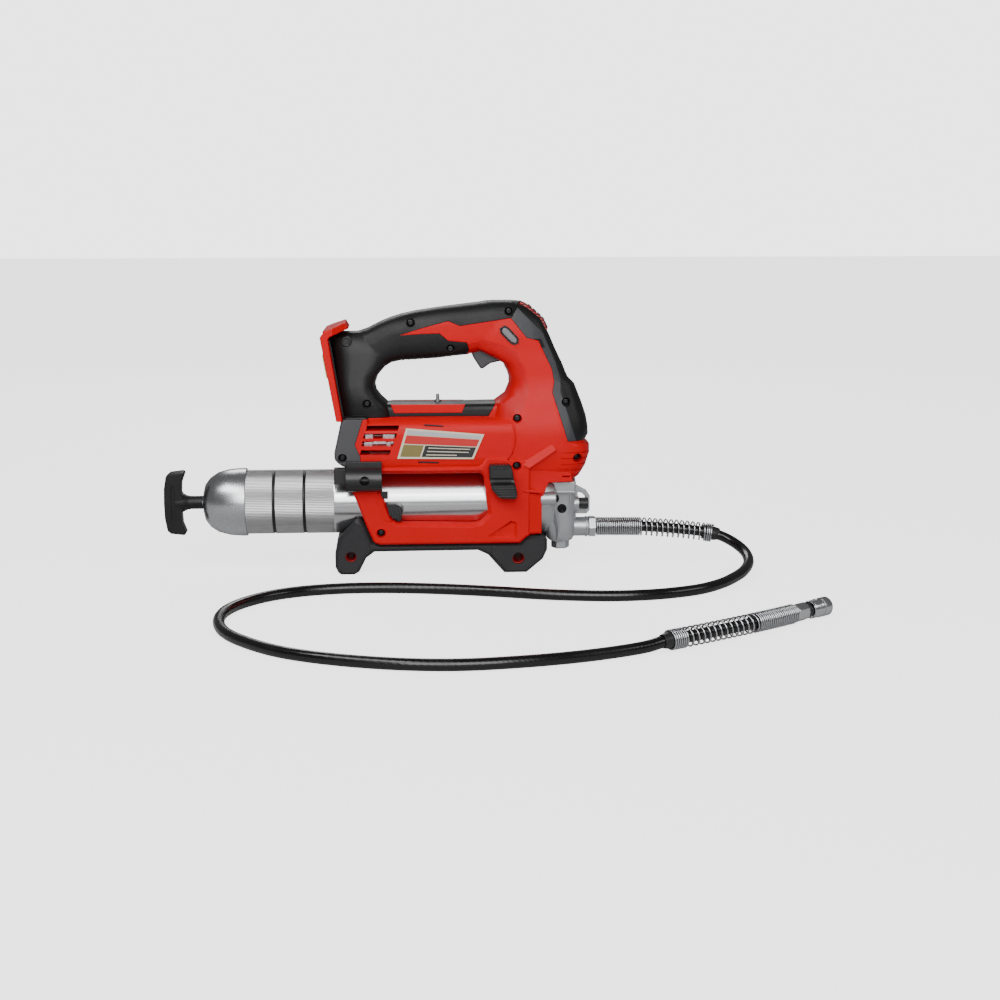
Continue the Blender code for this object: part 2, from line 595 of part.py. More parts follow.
def drive():
    mid = (0.0, 0.0, MOTOR_Z)
    lathe("motor_can", [(-8.0, 18.4), (-8.0, 20.2), (56.0, 20.2), (56.0, 5.0), (53.0, 5.0), (53.0, 18.4)], mid,
          steps=32, closed=True, finish="bright_steel")
    lathe("motor_brush_plate", tube(-12.0, -8.3, 20.0, 3.2), mid, steps=24, closed=True, finish="grey_plastic")
    lathe("motor_rotor", [(-14.0, 0.0), (-14.0, 2.5), (-2.0, 2.5), (-2.0, 8.0), (8.0, 8.0), (8.0, 15.6),
                          (44.0, 15.6), (44.0, 2.5), (83.0, 2.5), (83.0, 0.0)], mid, steps=20,
          finish="dark_steel")
    gear("cooling_fan", 10, 7.5, 17.5, 2.8, 57.2, 60.6, mid, 0.0, finish="grey_plastic")
    gear("sun_pinion", SUN_TEETH, 3.6, 5.1, 2.7, 66.0, 82.8, mid, 0.0)
    orbit = GEAR_MODULE * (SUN_TEETH + PLANET_TEETH) / 2.0
    for k in range(3):
        at = math.radians(90.0 + 120.0 * k)
        centre = (0.0, orbit * math.cos(at), MOTOR_Z + orbit * math.sin(at))
        gear("planet_gear_%d" % (k + 1), PLANET_TEETH, 5.8, 7.3, 2.4, 67.0, 82.0, centre, mesh_phase(at, 0.0))
    top = math.radians(90.0)
    share = (top - mesh_phase(top, 0.0)) * PLANET_TEETH / (2.0 * math.pi)
    ring_phase = top - (share + 0.5) * 2.0 * math.pi / RING_TEETH
    gear("ring_gear", RING_TEETH, 19.0, 17.5, 21.8, 64.5, 84.0, mid, ring_phase)
    carrier = lathe("planet_carrier", [(84.8, 0.0), (84.8, 16.5), (90.0, 16.5), (90.0, 6.0), (150.5, 6.0),
                                       (150.5, 4.6), (160.0, 4.6), (160.0, 0.0)], mid, steps=32, finish="gear_steel")
    extra = bmesh.new()
    for k in range(3):
        at = math.radians(90.0 + 120.0 * k)
        add_lathe(extra, rod(66.8, 86.0, 2.1), (0.0, orbit * math.cos(at), MOTOR_Z + orbit * math.sin(at)), "X", 12)
    pins = add("add_carrier_pins", extra)
    cam = lathe("add_carrier_cam", rod(158.0, 171.0, CAM_R), (0.0, 0.0, MOTOR_Z + STROKE / 2.0), steps=28)
    combine(carrier, pins, "UNION")
    combine(carrier, cam, "UNION")
    for name, x0, x1 in (("rear_bearing", 104.0, 111.0), ("front_bearing", 142.0, 149.0)):
        lathe(name, tube(x0, x1, 10.9, 6.25), mid, steps=24, closed=True, finish="bright_steel")


# ---------------------------------------------------------------- pump head

LOOP = [(171.0, 72.6), (180.0, 72.2), (188.6, 67.6), (191.5, 63.0), (191.5, 49.6), (188.6, 46.4), (171.0, 46.4)]
LOOP_HOLE = [(180.6, 66.6), (184.4, 65.4), (187.4, 62.2), (187.4, 52.4), (185.4, 50.4), (180.6, 50.4)]


def pump_head():
    mid = (0.0, 0.0, BARREL_Z)
    head = lathe("pump_head", [(121.3, 0.0), (121.3, 31.3), (150.0, 31.3), (156.5, 28.0), (158.5, 25.0),
                               (158.5, 0.0)], mid, steps=40, finish="cast_aluminium")
    column = loft("add_head_column", [(24.3, 157.0, 173.0, 11.0), (28.0, 154.0, 176.0, 13.0),
                                      (46.0, 152.0, 177.4, 14.5), (66.0, 151.0, 177.4, 15.0),
                                      (80.3, 150.0, 177.4, 17.0)], "Z", 4.0)
    top = prism("add_head_top", [(146.5, 66.0), (156.0, 66.0), (159.0, 70.5), (175.6, 70.5), (176.6, 80.9),
                                 (151.5, 80.9), (146.5, 73.0)], -22.0, 22.0)
    bevel(top, 1.2, 1, 40.0)
    outlet = lathe("add_head_outlet", rod(165.0, 189.7, 8.7), (0.0, 0.0, OUTLET_Z), steps=24)
    bleed = lathe("add_head_bleed", rod(165.0, 180.4, 6.6), (0.0, -5.0, 57.5), steps=20)
    ear = lathe("add_head_ear", rod(145.4, 156.4, 6.4), (0.0, -23.5, 64.5), steps=20)
    loop = prism("add_strap_loop", LOOP, 1.8, 7.2)
    loop_hole = prism("cut_strap_loop", LOOP_HOLE, -2.0, 12.0)
    combine(loop, loop_hole, "DIFFERENCE")
    combine_all(head, (column, top, outlet, bleed, ear, loop), "UNION")
    flat = prism("cut_head_flat", [(145.2, 66.8), (151.0, 81.3), (200.0, 81.3), (200.0, 130.0), (145.2, 130.0)],
                 -50.0, 50.0)
    side = box("cut_head_ear_side", 120.0, 145.3, -60.0, -30.9, 50.0, 80.0)
    socket = lathe("cut_barrel_socket", rod(110.0, 145.2, 29.1), mid, steps=40)
    feed = lathe("cut_grease_feed", rod(140.0, PUMP_X, 3.5), (0.0, 0.0, 60.0), steps=16)
    well = lathe("cut_plunger_bore", [(20.0, 0.0), (20.0, 6.2), (44.0, 6.2), (44.0, 4.2), (90.0, 4.2),
                                      (90.0, 0.0)], (PUMP_X, 0.0, 0.0), "Z", 20)
    exit_way = lathe("cut_outlet_way", [(PUMP_X, 0.0), (PUMP_X, 2.5), (179.0, 2.5), (179.0, 5.1), (195.0, 5.1),
                                        (195.0, 0.0)], (0.0, 0.0, OUTLET_Z), steps=16)
    seat = lathe("cut_bleed_seat", rod(172.0, 190.0, 2.4), (0.0, -5.0, 57.5), steps=14)
    plug = lathe("cut_side_plug", rod(-30.0, -12.0, 4.2), (PUMP_X, 0.0, 54.5), "Y", 18)
    combine_all(head, (flat, side, socket, feed, well, exit_way, seat, plug), "DIFFERENCE")


def pump_parts():
    axis = (PUMP_X, 0.0, 0.0)
    lathe("pump_plunger", [(50.4, 0.0), (50.4, 3.95), (100.4, 3.95), (100.4, 7.0), (104.3, 7.0), (104.3, 0.0)],
          axis, "Z", 20, finish="bright_steel")
    lathe("plunger_spring", tube(81.6, 100.1, 6.8, 5.2), axis, "Z", 16, closed=True, finish="bright_steel")
    bm = bmesh.new()
    bmesh.ops.create_uvsphere(bm, u_segments=14, v_segments=10, radius=4.7)
    bmesh.ops.translate(bm, verts=bm.verts, vec=(PUMP_X, 0.0, 41.2))
    add("check_ball", bm, "bright_steel", (PUMP_X, 0.0, 41.2))
    lathe("check_spring", tube(29.0, 36.1, 4.4, 3.2), axis, "Z", 16, closed=True, finish="bright_steel")
    lathe("valve_cap", [(15.8, 0.0), (15.8, 7.6), (16.6, 8.4), (23.9, 8.4), (23.9, 5.9), (28.6, 5.9),
                        (28.6, 0.0)], axis, "Z", 6, finish="bright_steel")
    lathe("side_plug", rod(-15.2, -12.4, 3.9), (PUMP_X, 0.0, 54.5), "Y", 16, finish="dark_steel")
    lathe("bleed_valve", [(174.0, 0.0), (174.0, 2.1), (180.8, 2.1), (180.8, 5.0), (189.0, 5.0), (189.0, 0.0)],
          (0.0, -5.0, 57.5), steps=20, finish="black_rubber")


# ---------------------------------------------------------------- trigger, switch and board

def controls():
    trigger = prism("trigger", TRIGGER, -8.0, 8.0, "grey_plastic", (109.0, 0.0, 199.0))
    bevel(trigger, 1.2, 1, 40.0)
    box("trigger_switch", 84.5, 106.0, -8.5, 8.5, 210.6, 226.0, "grey_plastic")
    lathe("trigger_spring", tube(203.4, 210.2, 3.4, 2.4), (92.0, 0.0, 0.0), "Z", 14, closed=True,
          finish="bright_steel")
    button = prism("lock_button", BUTTON, -21.8, 21.8, "grey_plastic", (116.5, 0.0, 211.3))
    bevel(button, 0.7, 1, 40.0)
    box("control_board", 130.5, 132.1, -12.0, 12.0, 150.0, 190.0, "board_green")


# ---------------------------------------------------------------- hose and coupler

HOSE_POINTS = [
    (181.0, 0.0, 35.0), (196.0, 0.0, 35.0), (238.0, 0.0, 34.3), (276.0, 0.0, 31.2), (305.0, -2.0, 27.2),
    (320.0, -11.0, 22.0), (329.0, -27.0, 16.0), (329.0, -47.0, 11.0), (320.0, -70.0, 8.0), (306.0, -90.0, 6.2),
    (290.0, -108.0, 5.4), (268.0, -124.0, 5.0), (235.0, -136.0, 4.9), (200.0, -140.0, 4.9), (168.0, -137.0, 4.9),
    (135.0, -130.0, 4.9), (102.0, -120.0, 4.9), (69.0, -111.0, 4.9), (35.0, -104.0, 4.9), (0.0, -100.0, 4.9),
    (-33.0, -101.0, 4.9), (-66.0, -109.0, 4.9), (-92.0, -124.0, 4.9), (-112.0, -147.0, 4.9),
    (-123.0, -174.0, 4.9), (-124.0, -204.0, 4.9), (-116.0, -234.0, 4.9), (-98.0, -262.0, 4.9),
    (-70.0, -290.0, 4.9), (-32.0, -311.0, 4.9), (15.0, -326.0, 4.9), (61.0, -331.0, 4.9), (110.0, -325.0, 4.9),
    (156.0, -313.0, 4.9), (196.0, -298.0, 5.6), (217.0, -288.0, 7.9), (254.0, -267.0, 8.2), (292.0, -243.0, 8.2),
    (329.0, -217.5, 8.2), (338.0, -211.2, 8.2)]


def pump_hose():
    lathe("hose_nut", [(190.1, 5.6), (190.1, 9.9), (196.4, 9.9), (196.4, 5.6)], (0.0, 0.0, OUTLET_Z),
          steps=6, closed=True, finish="bright_steel")
    sweep("hose", HOSE_POINTS, HOSE_R, 0.0, 10, "hose_rubber")
    sweep("hose_spring_near", [(197.0, 0.0, 35.0), (217.0, 0.0, 34.7), (238.0, 0.0, 34.3), (257.0, 0.0, 32.9),
                               (276.0, 0.0, 31.2), (291.0, -0.6, 29.4), (304.0, -1.8, 27.4)],
          GUARD_R, 5.5, 12, "bright_steel")
    sweep("hose_spring_far", [(218.5, -287.2, 8.0), (236.0, -277.4, 8.1), (254.0, -267.0, 8.2),
                              (273.0, -255.2, 8.2), (292.0, -243.0, 8.2), (310.0, -230.8, 8.2),
                              (328.0, -218.2, 8.2)], GUARD_R, 5.5, 12, "bright_steel")
    start = (329.0, -217.5, 8.2)
    lathe("coupler_body", [(0.4, 5.2), (0.4, 6.9), (1.4, 7.7), (14.0, 7.7), (15.0, 6.9), (15.0, 5.0), (41.0, 5.0),
                           (42.5, 4.2), (42.5, 2.0), (14.0, 2.0), (14.0, 5.2)], start, steps=18, closed=True,
          finish="bright_steel", turn=FAR_TURN)
    lathe("coupler_sleeve", [(18.5, 5.3), (18.5, 7.2), (19.5, 7.7), (38.0, 7.7), (39.5, 6.6), (39.5, 5.3)], start,
          steps=20, closed=True, finish="bright_steel", turn=FAR_TURN)


mouldings()
boot()
receiver()
clips()
label()
barrel()
drive()
pump_head()
pump_parts()
controls()
pump_hose()
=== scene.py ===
"""A cordless grease gun's finishes, fittings, springs and whip hose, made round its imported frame.

Sizes in the lists below are millimetres on the maker's drawing, whose x = 0 lies DRAWING_X
behind the frame's origin. spot() turns a drawing point into a point of the frame.
"""
import json
import math

import bmesh
import bpy
from bpy.props import FloatProperty, FloatVectorProperty, IntProperty, PointerProperty
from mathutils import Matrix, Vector

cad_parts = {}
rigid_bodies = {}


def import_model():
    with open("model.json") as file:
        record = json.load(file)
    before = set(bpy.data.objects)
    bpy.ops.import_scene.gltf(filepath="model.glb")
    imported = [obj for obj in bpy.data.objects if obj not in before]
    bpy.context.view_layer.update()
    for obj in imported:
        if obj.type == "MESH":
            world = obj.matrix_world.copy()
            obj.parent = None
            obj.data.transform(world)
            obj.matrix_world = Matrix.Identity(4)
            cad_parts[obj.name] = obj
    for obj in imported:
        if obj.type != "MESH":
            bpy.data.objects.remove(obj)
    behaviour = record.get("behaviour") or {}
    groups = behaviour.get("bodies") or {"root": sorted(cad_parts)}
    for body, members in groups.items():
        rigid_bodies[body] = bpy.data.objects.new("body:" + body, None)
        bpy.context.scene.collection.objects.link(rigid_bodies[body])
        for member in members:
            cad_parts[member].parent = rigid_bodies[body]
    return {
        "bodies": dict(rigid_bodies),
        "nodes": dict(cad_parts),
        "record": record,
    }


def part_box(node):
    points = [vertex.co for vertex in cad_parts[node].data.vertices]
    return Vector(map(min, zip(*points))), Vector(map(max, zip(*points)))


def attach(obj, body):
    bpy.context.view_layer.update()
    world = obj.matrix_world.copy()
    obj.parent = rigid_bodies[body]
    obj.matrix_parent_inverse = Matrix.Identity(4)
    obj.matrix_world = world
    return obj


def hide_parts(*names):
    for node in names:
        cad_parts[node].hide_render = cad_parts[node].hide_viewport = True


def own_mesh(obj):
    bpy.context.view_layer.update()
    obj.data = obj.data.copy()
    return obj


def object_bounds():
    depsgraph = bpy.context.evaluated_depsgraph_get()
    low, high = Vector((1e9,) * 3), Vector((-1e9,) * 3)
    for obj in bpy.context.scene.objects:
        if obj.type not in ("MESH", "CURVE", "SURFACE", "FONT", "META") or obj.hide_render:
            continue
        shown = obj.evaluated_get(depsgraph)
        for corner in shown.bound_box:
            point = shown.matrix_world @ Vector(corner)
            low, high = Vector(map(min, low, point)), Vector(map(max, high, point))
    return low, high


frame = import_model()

CAD_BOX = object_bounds()

bl_info = {
    "name": "Grease Gun Looks",
    "version": (1, 0, 0),
    "blender": (4, 5, 0),
    "location": "View3D > Sidebar > Grease Gun",
    "description": "Finishes, fittings, springs and whip hose for a cordless grease gun",
    "category": "Object",
}

MM = 0.001
DRAWING_X = 122.0
BODY_OF = {node.name: next(name for name, empty in frame["bodies"].items() if node.parent == empty)
           for node in frame["nodes"].values()}
SLOT_OF = {row["node"]: row["material_slot"] for row in frame["record"]["subparts"]}

# Edges that turn by more than this many degrees are kept crisp or rounded off.
SHARP = 34.0

BARREL_LOW, BARREL_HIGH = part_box("barrel_tube")
BARREL_AXIS = (BARREL_LOW + BARREL_HIGH) / 2.0
BARREL_R = (BARREL_HIGH.z - BARREL_LOW.z) / 2.0
SIDES = (-1.0, 1.0)
AHEAD, LEFT, UP = Vector((1.0, 0.0, 0.0)), Vector((0.0, 1.0, 0.0)), Vector((0.0, 0.0, 1.0))

# Where the barrel's lined bands begin and end. Dark grooves lie between them.
BANDS = ((-118.0, -94.2), (-91.4, -67.2), (-64.4, -39.5))

# The whip hose's route from its outlet to the coupler, and its stretches inside the spring guards.
HOSE_POINTS = [(181.0, 0.0, 35.0), (196.0, 0.0, 35.0), (238.0, 0.0, 34.3), (276.0, 0.0, 31.2),
               (305.0, -2.0, 27.2), (320.0, -11.0, 22.0), (329.0, -27.0, 16.0), (329.0, -47.0, 11.0),
               (320.0, -70.0, 8.0), (306.0, -90.0, 6.2), (290.0, -108.0, 5.4), (268.0, -124.0, 5.0),
               (235.0, -136.0, 4.9), (200.0, -140.0, 4.9), (168.0, -137.0, 4.9), (135.0, -130.0, 4.9),
               (102.0, -120.0, 4.9), (69.0, -111.0, 4.9), (35.0, -104.0, 4.9), (0.0, -100.0, 4.9),
               (-33.0, -101.0, 4.9), (-66.0, -109.0, 4.9), (-92.0, -124.0, 4.9), (-112.0, -147.0, 4.9),
               (-123.0, -174.0, 4.9), (-124.0, -204.0, 4.9), (-116.0, -234.0, 4.9), (-98.0, -262.0, 4.9),
               (-70.0, -290.0, 4.9), (-32.0, -311.0, 4.9), (15.0, -326.0, 4.9), (61.0, -331.0, 4.9),
               (110.0, -325.0, 4.9), (156.0, -313.0, 4.9), (196.0, -298.0, 5.6), (217.0, -288.0, 7.9),
               (254.0, -267.0, 8.2), (292.0, -243.0, 8.2), (329.0, -217.5, 8.2), (338.0, -211.2, 8.2)]
NEAR_GUARD = [(197.0, 0.0, 35.0), (217.0, 0.0, 34.7), (238.0, 0.0, 34.3), (257.0, 0.0, 32.9),
              (276.0, 0.0, 31.2), (291.0, -0.6, 29.4), (304.0, -1.8, 27.4)]
FAR_GUARD = [(218.5, -287.2, 8.0), (236.0, -277.4, 8.1), (254.0, -267.0, 8.2), (273.0, -255.2, 8.2),
             (292.0, -243.0, 8.2), (310.0, -230.8, 8.2), (328.0, -218.2, 8.2)]

# Shares of each guard's length and the pitch there, in wires.
NEAR_RUNS = [(0.38, 1.16), (0.56, 3.3), (0.06, 1.16)]
FAR_RUNS = [(0.1, 1.3), (0.56, 3.7), (0.34, 1.4)]

# The coupler lies along the floor. Its profiles are (along, radius) from its start.
COUPLER_START = (329.0, -217.5, 8.2)
COUPLER_TURN = math.radians(35.0)
COUPLER_NUT = [(0.4, 4.9), (0.4, 6.6), (1.4, 7.6), (12.2, 7.6), (13.2, 6.7), (13.2, 4.9)]
COUPLER_CORE = [(12.8, 4.95), (12.8, 6.2), (16.6, 6.2), (17.2, 5.6), (17.2, 5.0), (41.0, 5.0), (42.0, 4.6),
                (42.5, 4.1), (42.5, 2.2), (36.0, 2.0), (36.0, 0.5), (12.8, 0.5)]
# The last three points are the sleeve's counterbore, which takes the core's step as it slides back.
COUPLER_SLEEVE = [(18.5, 6.6), (18.5, 6.9), (19.0, 7.2), (26.6, 7.2), (27.2, 7.7), (29.2, 7.7), (29.6, 6.9),
                  (31.2, 6.9), (31.6, 7.7), (38.4, 7.7), (39.5, 6.9), (39.5, 5.4), (25.2, 5.4), (25.2, 6.6)]
COUPLER_PADS = 8

# The seam between the red shell and the bumper.
BUMPER_LINE = [(118.2, 226.2), (131.7, 209.2), (142.5, 206.5), (154.3, 181.3), (156.3, 170.5),
               (154.5, 161.5), (167.6, 118.6)]

# Each case screw: its x, its z and how far its seat lies to the near side.
SCREWS = [(30.0, 222.3, 12.6), (116.3, 232.0, 12.0), (65.0, 199.3, 12.6), (-9.0, 152.0, 20.0),
          (166.5, 152.5, 19.0), (123.0, 139.0, 27.0), (122.2, 97.6, 31.0), (176.4, 103.3, 19.0),
          (-31.0, 105.5, 28.0), (2.0, 38.5, 32.0)]

KNOB_FLUTES = 16
SPRING_POINTS = 16
# Each inner spring: its node, its axis, wire, turns, what presses it, by how much, and its fixed end.
SPRINGS = [("follower_spring", 0, 0.0016, 26, "rod_slide", 0.1905, 0),
           ("check_spring", 2, 0.0006, 5, "check_valve_slide", 0.0041, 0),
           ("trigger_spring", 2, 0.0006, 5, "trigger_pull", 0.0027, 1),
           ("plunger_spring", 2, 0.0012, 8, None, 0.0, 0)]

# Seams where daylight would show through the hollow neck, each closed by a gasket.
SEAMS = [BUMPER_LINE[:6], [(124.0, 236.0), (118.0, 226.3)],
         [(63.4, 206.6), (78.6, 204.8), (80.9, 198.1), (78.2, 194.6)]]

# The bumper's paler side band lies between the red shell and this line.
BAND_LINE = [(124.6, 234.6), (146.6, 212.6), (157.5, 187.0), (161.8, 172.0), (161.4, 161.0), (166.0, 148.0),
             (175.5, 117.0)]

# The inner face of the neck ends on this crease. It is a little smoother, and it is painted darker red as
# shade where the neck turns in towards the window.
NECK_CREASE = [(104.0, 204.6), (112.6, 202.4), (123.2, 197.4), (131.1, 177.2), (134.2, 163.6),
               (128.6, 147.6), (118.6, 139.6)]
NECK_SHADE_PATCH = [(70.0, 204.6), *NECK_CREASE, (70.0, 139.6)]

# The two long slots over and under the label, and the black fillings in them.
SEAM_SLOTS = [[(40.5, 135.4), (57.8, 134.2), (57.8, 132.4), (40.5, 133.6)],
              [(35.4, 102.4), (53.6, 101.8), (53.6, 100.0), (35.4, 100.6)]]
SLOT_FILLINGS = [[(40.9, 135.1), (57.4, 133.9), (57.4, 132.7), (40.9, 133.9)],
                 [(35.8, 102.1), (53.2, 101.5), (53.2, 100.3), (35.8, 100.9)]]

# The opening that shows the barrel, and the width of the chamfer round it.
FRAME_WINDOW = [(2.0, 91.2), (2.0, 75.0), (12.5, 50.5), (16.5, 47.6), (84.0, 45.8), (90.0, 47.5),
                (97.0, 55.0), (93.0, 88.2), (90.4, 91.2)]
WINDOW_CHAMFER = 3.4

# The label's corners, and each field's finish and its limits in shares of the width and the height.
LABEL_CORNERS = ((17.0, 105.0), (84.0, 104.0), (93.5, 126.0), (25.0, 132.0))
LABEL_FIELDS = [("label_grey", 0.03, 0.97, 0.8, 0.94), ("label_red", 0.03, 0.97, 0.5, 0.78),
                ("label_black", 0.31, 0.97, 0.07, 0.47), ("label_olive", 0.03, 0.29, 0.07, 0.47),
                ("label_cream", 0.36, 0.9, 0.37, 0.4), ("label_cream", 0.36, 0.9, 0.25, 0.28),
                ("label_cream", 0.36, 0.76, 0.13, 0.16)]

# The nose's sections, as (height, back, front, half width), and their roundness.
NOSE_SECTIONS = [(81.6, 130.0, 175.5, 25.0), (86.0, 118.0, 180.5, 30.0), (95.0, 104.0, 186.0, 34.0),
                 (106.0, 102.0, 189.4, 35.0), (113.4, 102.0, 189.2, 35.0), (116.2, 102.0, 184.6, 35.0)]
NOSE_POWER = 3.4
NOSE_RIBS = (87.2, 92.4, 97.6, 102.8, 108.0)

# The frame's recessed corner: its floor and its wider mouth.
CORNER_FLOOR = [(99.4, 36.2), (117.4, 46.2), (120.4, 45.2), (120.4, 34.2), (100.2, 34.2)]
CORNER_MOUTH = [(96.4, 34.8), (117.4, 49.4), (122.6, 47.2), (122.6, 32.4), (97.6, 32.4)]

# The feet's cross holes, as (along, height, radius), and the raised pads round them.
REAR_EYE = (-25.0, 16.5, 5.0)
FRONT_EYE = (124.0, 13.5, 5.4)
REAR_PAD = [(-33.0, 31.0), (-36.2, 19.5), (-36.2, 5.5), (-32.0, 2.4), (-21.0, 2.4), (-13.4, 15.6),
            (-7.6, 22.2), (-13.6, 41.0), (-19.4, 45.4)]
FRONT_PAD = [(99.6, 18.6), (113.4, 2.4), (130.2, 2.4), (143.6, 13.4), (147.4, 21.2), (147.4, 28.2),
             (144.8, 30.6), (134.0, 31.0), (126.4, 24.8), (101.6, 24.4)]

RELEASE_KNOB = [(5.6, 65.6), (15.4, 65.6), (18.8, 64.4), (21.2, 61.8), (22.2, 58.4), (21.4, 55.0),
                (19.2, 52.4), (15.8, 51.0), (11.6, 51.0)]

# The silver blocks behind the vents: back, front, low and high.
BRUSH_HOLDERS = [(-11.0, -4.1, 121.7, 125.7), (4.5, 15.0, 121.5, 125.6), (-12.0, -4.4, 115.9, 119.0),
                 (7.3, 11.6, 115.6, 119.0)]

HANDLE_HOLLOW = [(-184.6, 77.0), (-181.8, 77.6), (-181.4, 61.3), (-181.8, 45.0), (-184.6, 45.6),
                 (-185.0, 61.3)]

HEAD_BOWL = [(22.4, 156.6, 166.0, 9.0), (25.0, 152.4, 165.5, 12.0), (31.0, 148.4, 164.0, 16.5),
             (38.0, 146.4, 162.0, 21.0), (45.0, 145.6, 160.0, 25.0), (58.0, 145.4, 158.6, 28.0)]
HEAD_RIBS = [[(157.2, 26.6, 61.0), (157.8, 26.0, 55.0), (158.8, 24.4, 48.6), (160.6, 20.0, 40.0),
              (161.0, 16.4, 32.4), (160.6, 13.6, 26.2)],
             [(172.6, 14.0, 69.0), (171.8, 13.8, 57.6), (170.2, 12.8, 43.8), (167.0, 11.8, 30.0),
              (164.6, 10.6, 24.6)]]

# What the camera looks at.
TARGET = (109.5, 0.0, 60.2)
FLOOR_REACH = 6.0
FLOOR_DROP = 0.0002
# Each light: its name, place in metres, width and power. LIGHT_SHAPE is its height over its width.
LIGHTS = [("front_light", (-0.1, -1.55, 1.25), 1.4, 15.0), ("card_light", (-0.05, -2.0, 0.78), 1.5, 19.0),
          ("high_light", (-0.75, -0.7, 1.2), 0.8, 8.0), ("right_light", (1.3, -0.7, 0.9), 0.7, 3.0),
          ("rim_light", (-0.2, 1.3, 1.0), 0.9, 7.0)]
LIGHT_SHAPE = 0.6

# The lock button's outline, which its surround follows.
BUTTON = [(109.6, 216.6), (110.2, 213.6), (117.8, 205.8), (120.8, 204.2), (123.2, 205.2), (123.2, 208.2),
          (115.6, 216.4), (112.6, 218.4)]


def spot(x, y, z):
    """A drawing point in the frame, in metres."""
    return Vector(((x - DRAWING_X) * MM, y * MM, z * MM))


# ---------------------------------------------------------------- settings

def colour(name, description, default):
    """A colour setting."""
    return FloatVectorProperty(name=name, description=description, subtype="COLOR", size=3, min=0.0, max=1.0,
                               default=default)


def metres(name, description, default, low=0.0):
    """A setting in metres."""
    return FloatProperty(name=name, description=description, default=default, min=low, unit="LENGTH")


class FinishSettings(bpy.types.PropertyGroup):
    """Colours and edge sizes of the finishes."""
    red: colour("Shell red", "Colour of the moulded shells", (0.64, 0.0012, 0.0055))
    rubber: colour("Grip rubber", "Colour of the grip, bumper and boot", (0.008, 0.008, 0.0088))
    hose: colour("Hose cover", "Colour of the whip hose", (0.0018, 0.0018, 0.002))
    shell_edge: metres("Shell edge", "Rounding of the moulded edges", 0.0006)
    rubber_edge: metres("Rubber edge", "Rounding of the rubber edges", 0.0008)


class BarrelSettings(bpy.types.PropertyGroup):
    """The grease barrel's lined bands."""
    flutes: IntProperty(name="Flutes", description="Lines round the barrel", default=120, min=24)
    flute_depth: metres("Flute depth", "Depth of each line", 0.0003)
    groove_depth: metres("Groove depth", "Depth of the plain grooves between bands", 0.0005)


class HoseSettings(bpy.types.PropertyGroup):
    """The whip hose and its spring guards."""
    length: metres("Length", "Real length of the hose with its ends", 1.25, 0.1)
    radius: metres("Radius", "Outside radius of the hose", 0.0047, 0.001)
    wire: metres("Guard wire", "Thickness of the guard's wire", 0.0015, 0.0002)
    coil: metres("Guard radius", "Outside radius of the guard's coils", 0.0085, 0.001)
    points_a_turn: IntProperty(name="Points a turn", description="Points of each coil", default=28, min=8)


class StageSettings(bpy.types.PropertyGroup):
    """Camera and light."""
    lens: FloatProperty(name="Lens", description="Focal length", default=59.54, min=10.0,
                        subtype="DISTANCE_CAMERA")
    distance: metres("Distance", "From the camera to the tool", 1.5, 0.2)
    swing: FloatProperty(name="Swing", description="Angle of the camera round the tool",
                         default=math.radians(-3.5), subtype="ANGLE")
    rise: FloatProperty(name="Rise", description="Angle of the camera above the floor",
                        default=math.radians(11.0), subtype="ANGLE")


# ---------------------------------------------------------------- shader groups

def link(tree, out, into):
    """Join two sockets."""
    tree.links.new(out, into)


def add_node(tree, kind, **values):
    """A shader node with its sockets and properties set by name."""
    made = tree.nodes.new(kind)
    for key, value in values.items():
        if key in made.inputs:
            made.inputs[key].default_value = value
        elif key.replace("_", " ") in made.inputs:
            made.inputs[key.replace("_", " ")].default_value = value
        else:
            setattr(made, key, value)
    return made


def maths(tree, operation, a, b=0.0, clamp=False):
    """The result of a sum on sockets or numbers."""
    made = tree.nodes.new("ShaderNodeMath")
    made.operation = operation
    made.use_clamp = clamp
    for socket, value in zip(made.inputs, (a, b)):
        if isinstance(value, bpy.types.NodeSocket):
            link(tree, value, socket)
        else:
            socket.default_value = value
    return made.outputs[0]


def blend_colours(tree, factor, one, two):
    """A colour between two, by a socket or a number."""
    made = tree.nodes.new("ShaderNodeMix")
    made.data_type = "RGBA"
    for socket, value in ((made.inputs[0], factor), (made.inputs[6], one), (made.inputs[7], two)):
        if isinstance(value, bpy.types.NodeSocket):
            link(tree, value, socket)
        elif isinstance(value, float):
            socket.default_value = value
        else:
            socket.default_value = (*value, 1.0)
    return made.outputs[2]


def span(tree, value, low, high, start=0.0, end=1.0):
    """A value that runs from start to end, spread between two limits."""
    made = add_node(tree, "ShaderNodeMapRange")
    for name, limit in (("From Min", start), ("From Max", end), ("To Min", low), ("To Max", high)):
        made.inputs[name].default_value = limit
    link(tree, value, made.inputs["Value"])
    return made.outputs["Result"]


def new_group(name, inputs, outputs):
    """An empty shader group with (name, type, default) inputs and (name, type) outputs."""
    group = bpy.data.node_groups.new(name, "ShaderNodeTree")
    for label, kind, default in inputs:
        socket = group.interface.new_socket(label, in_out="INPUT", socket_type=kind)
        if default is not None:
            socket.default_value = default
    for label, kind in outputs:
        group.interface.new_socket(label, in_out="OUTPUT", socket_type=kind)
    return group, group.nodes.new("NodeGroupInput"), group.nodes.new("NodeGroupOutput")


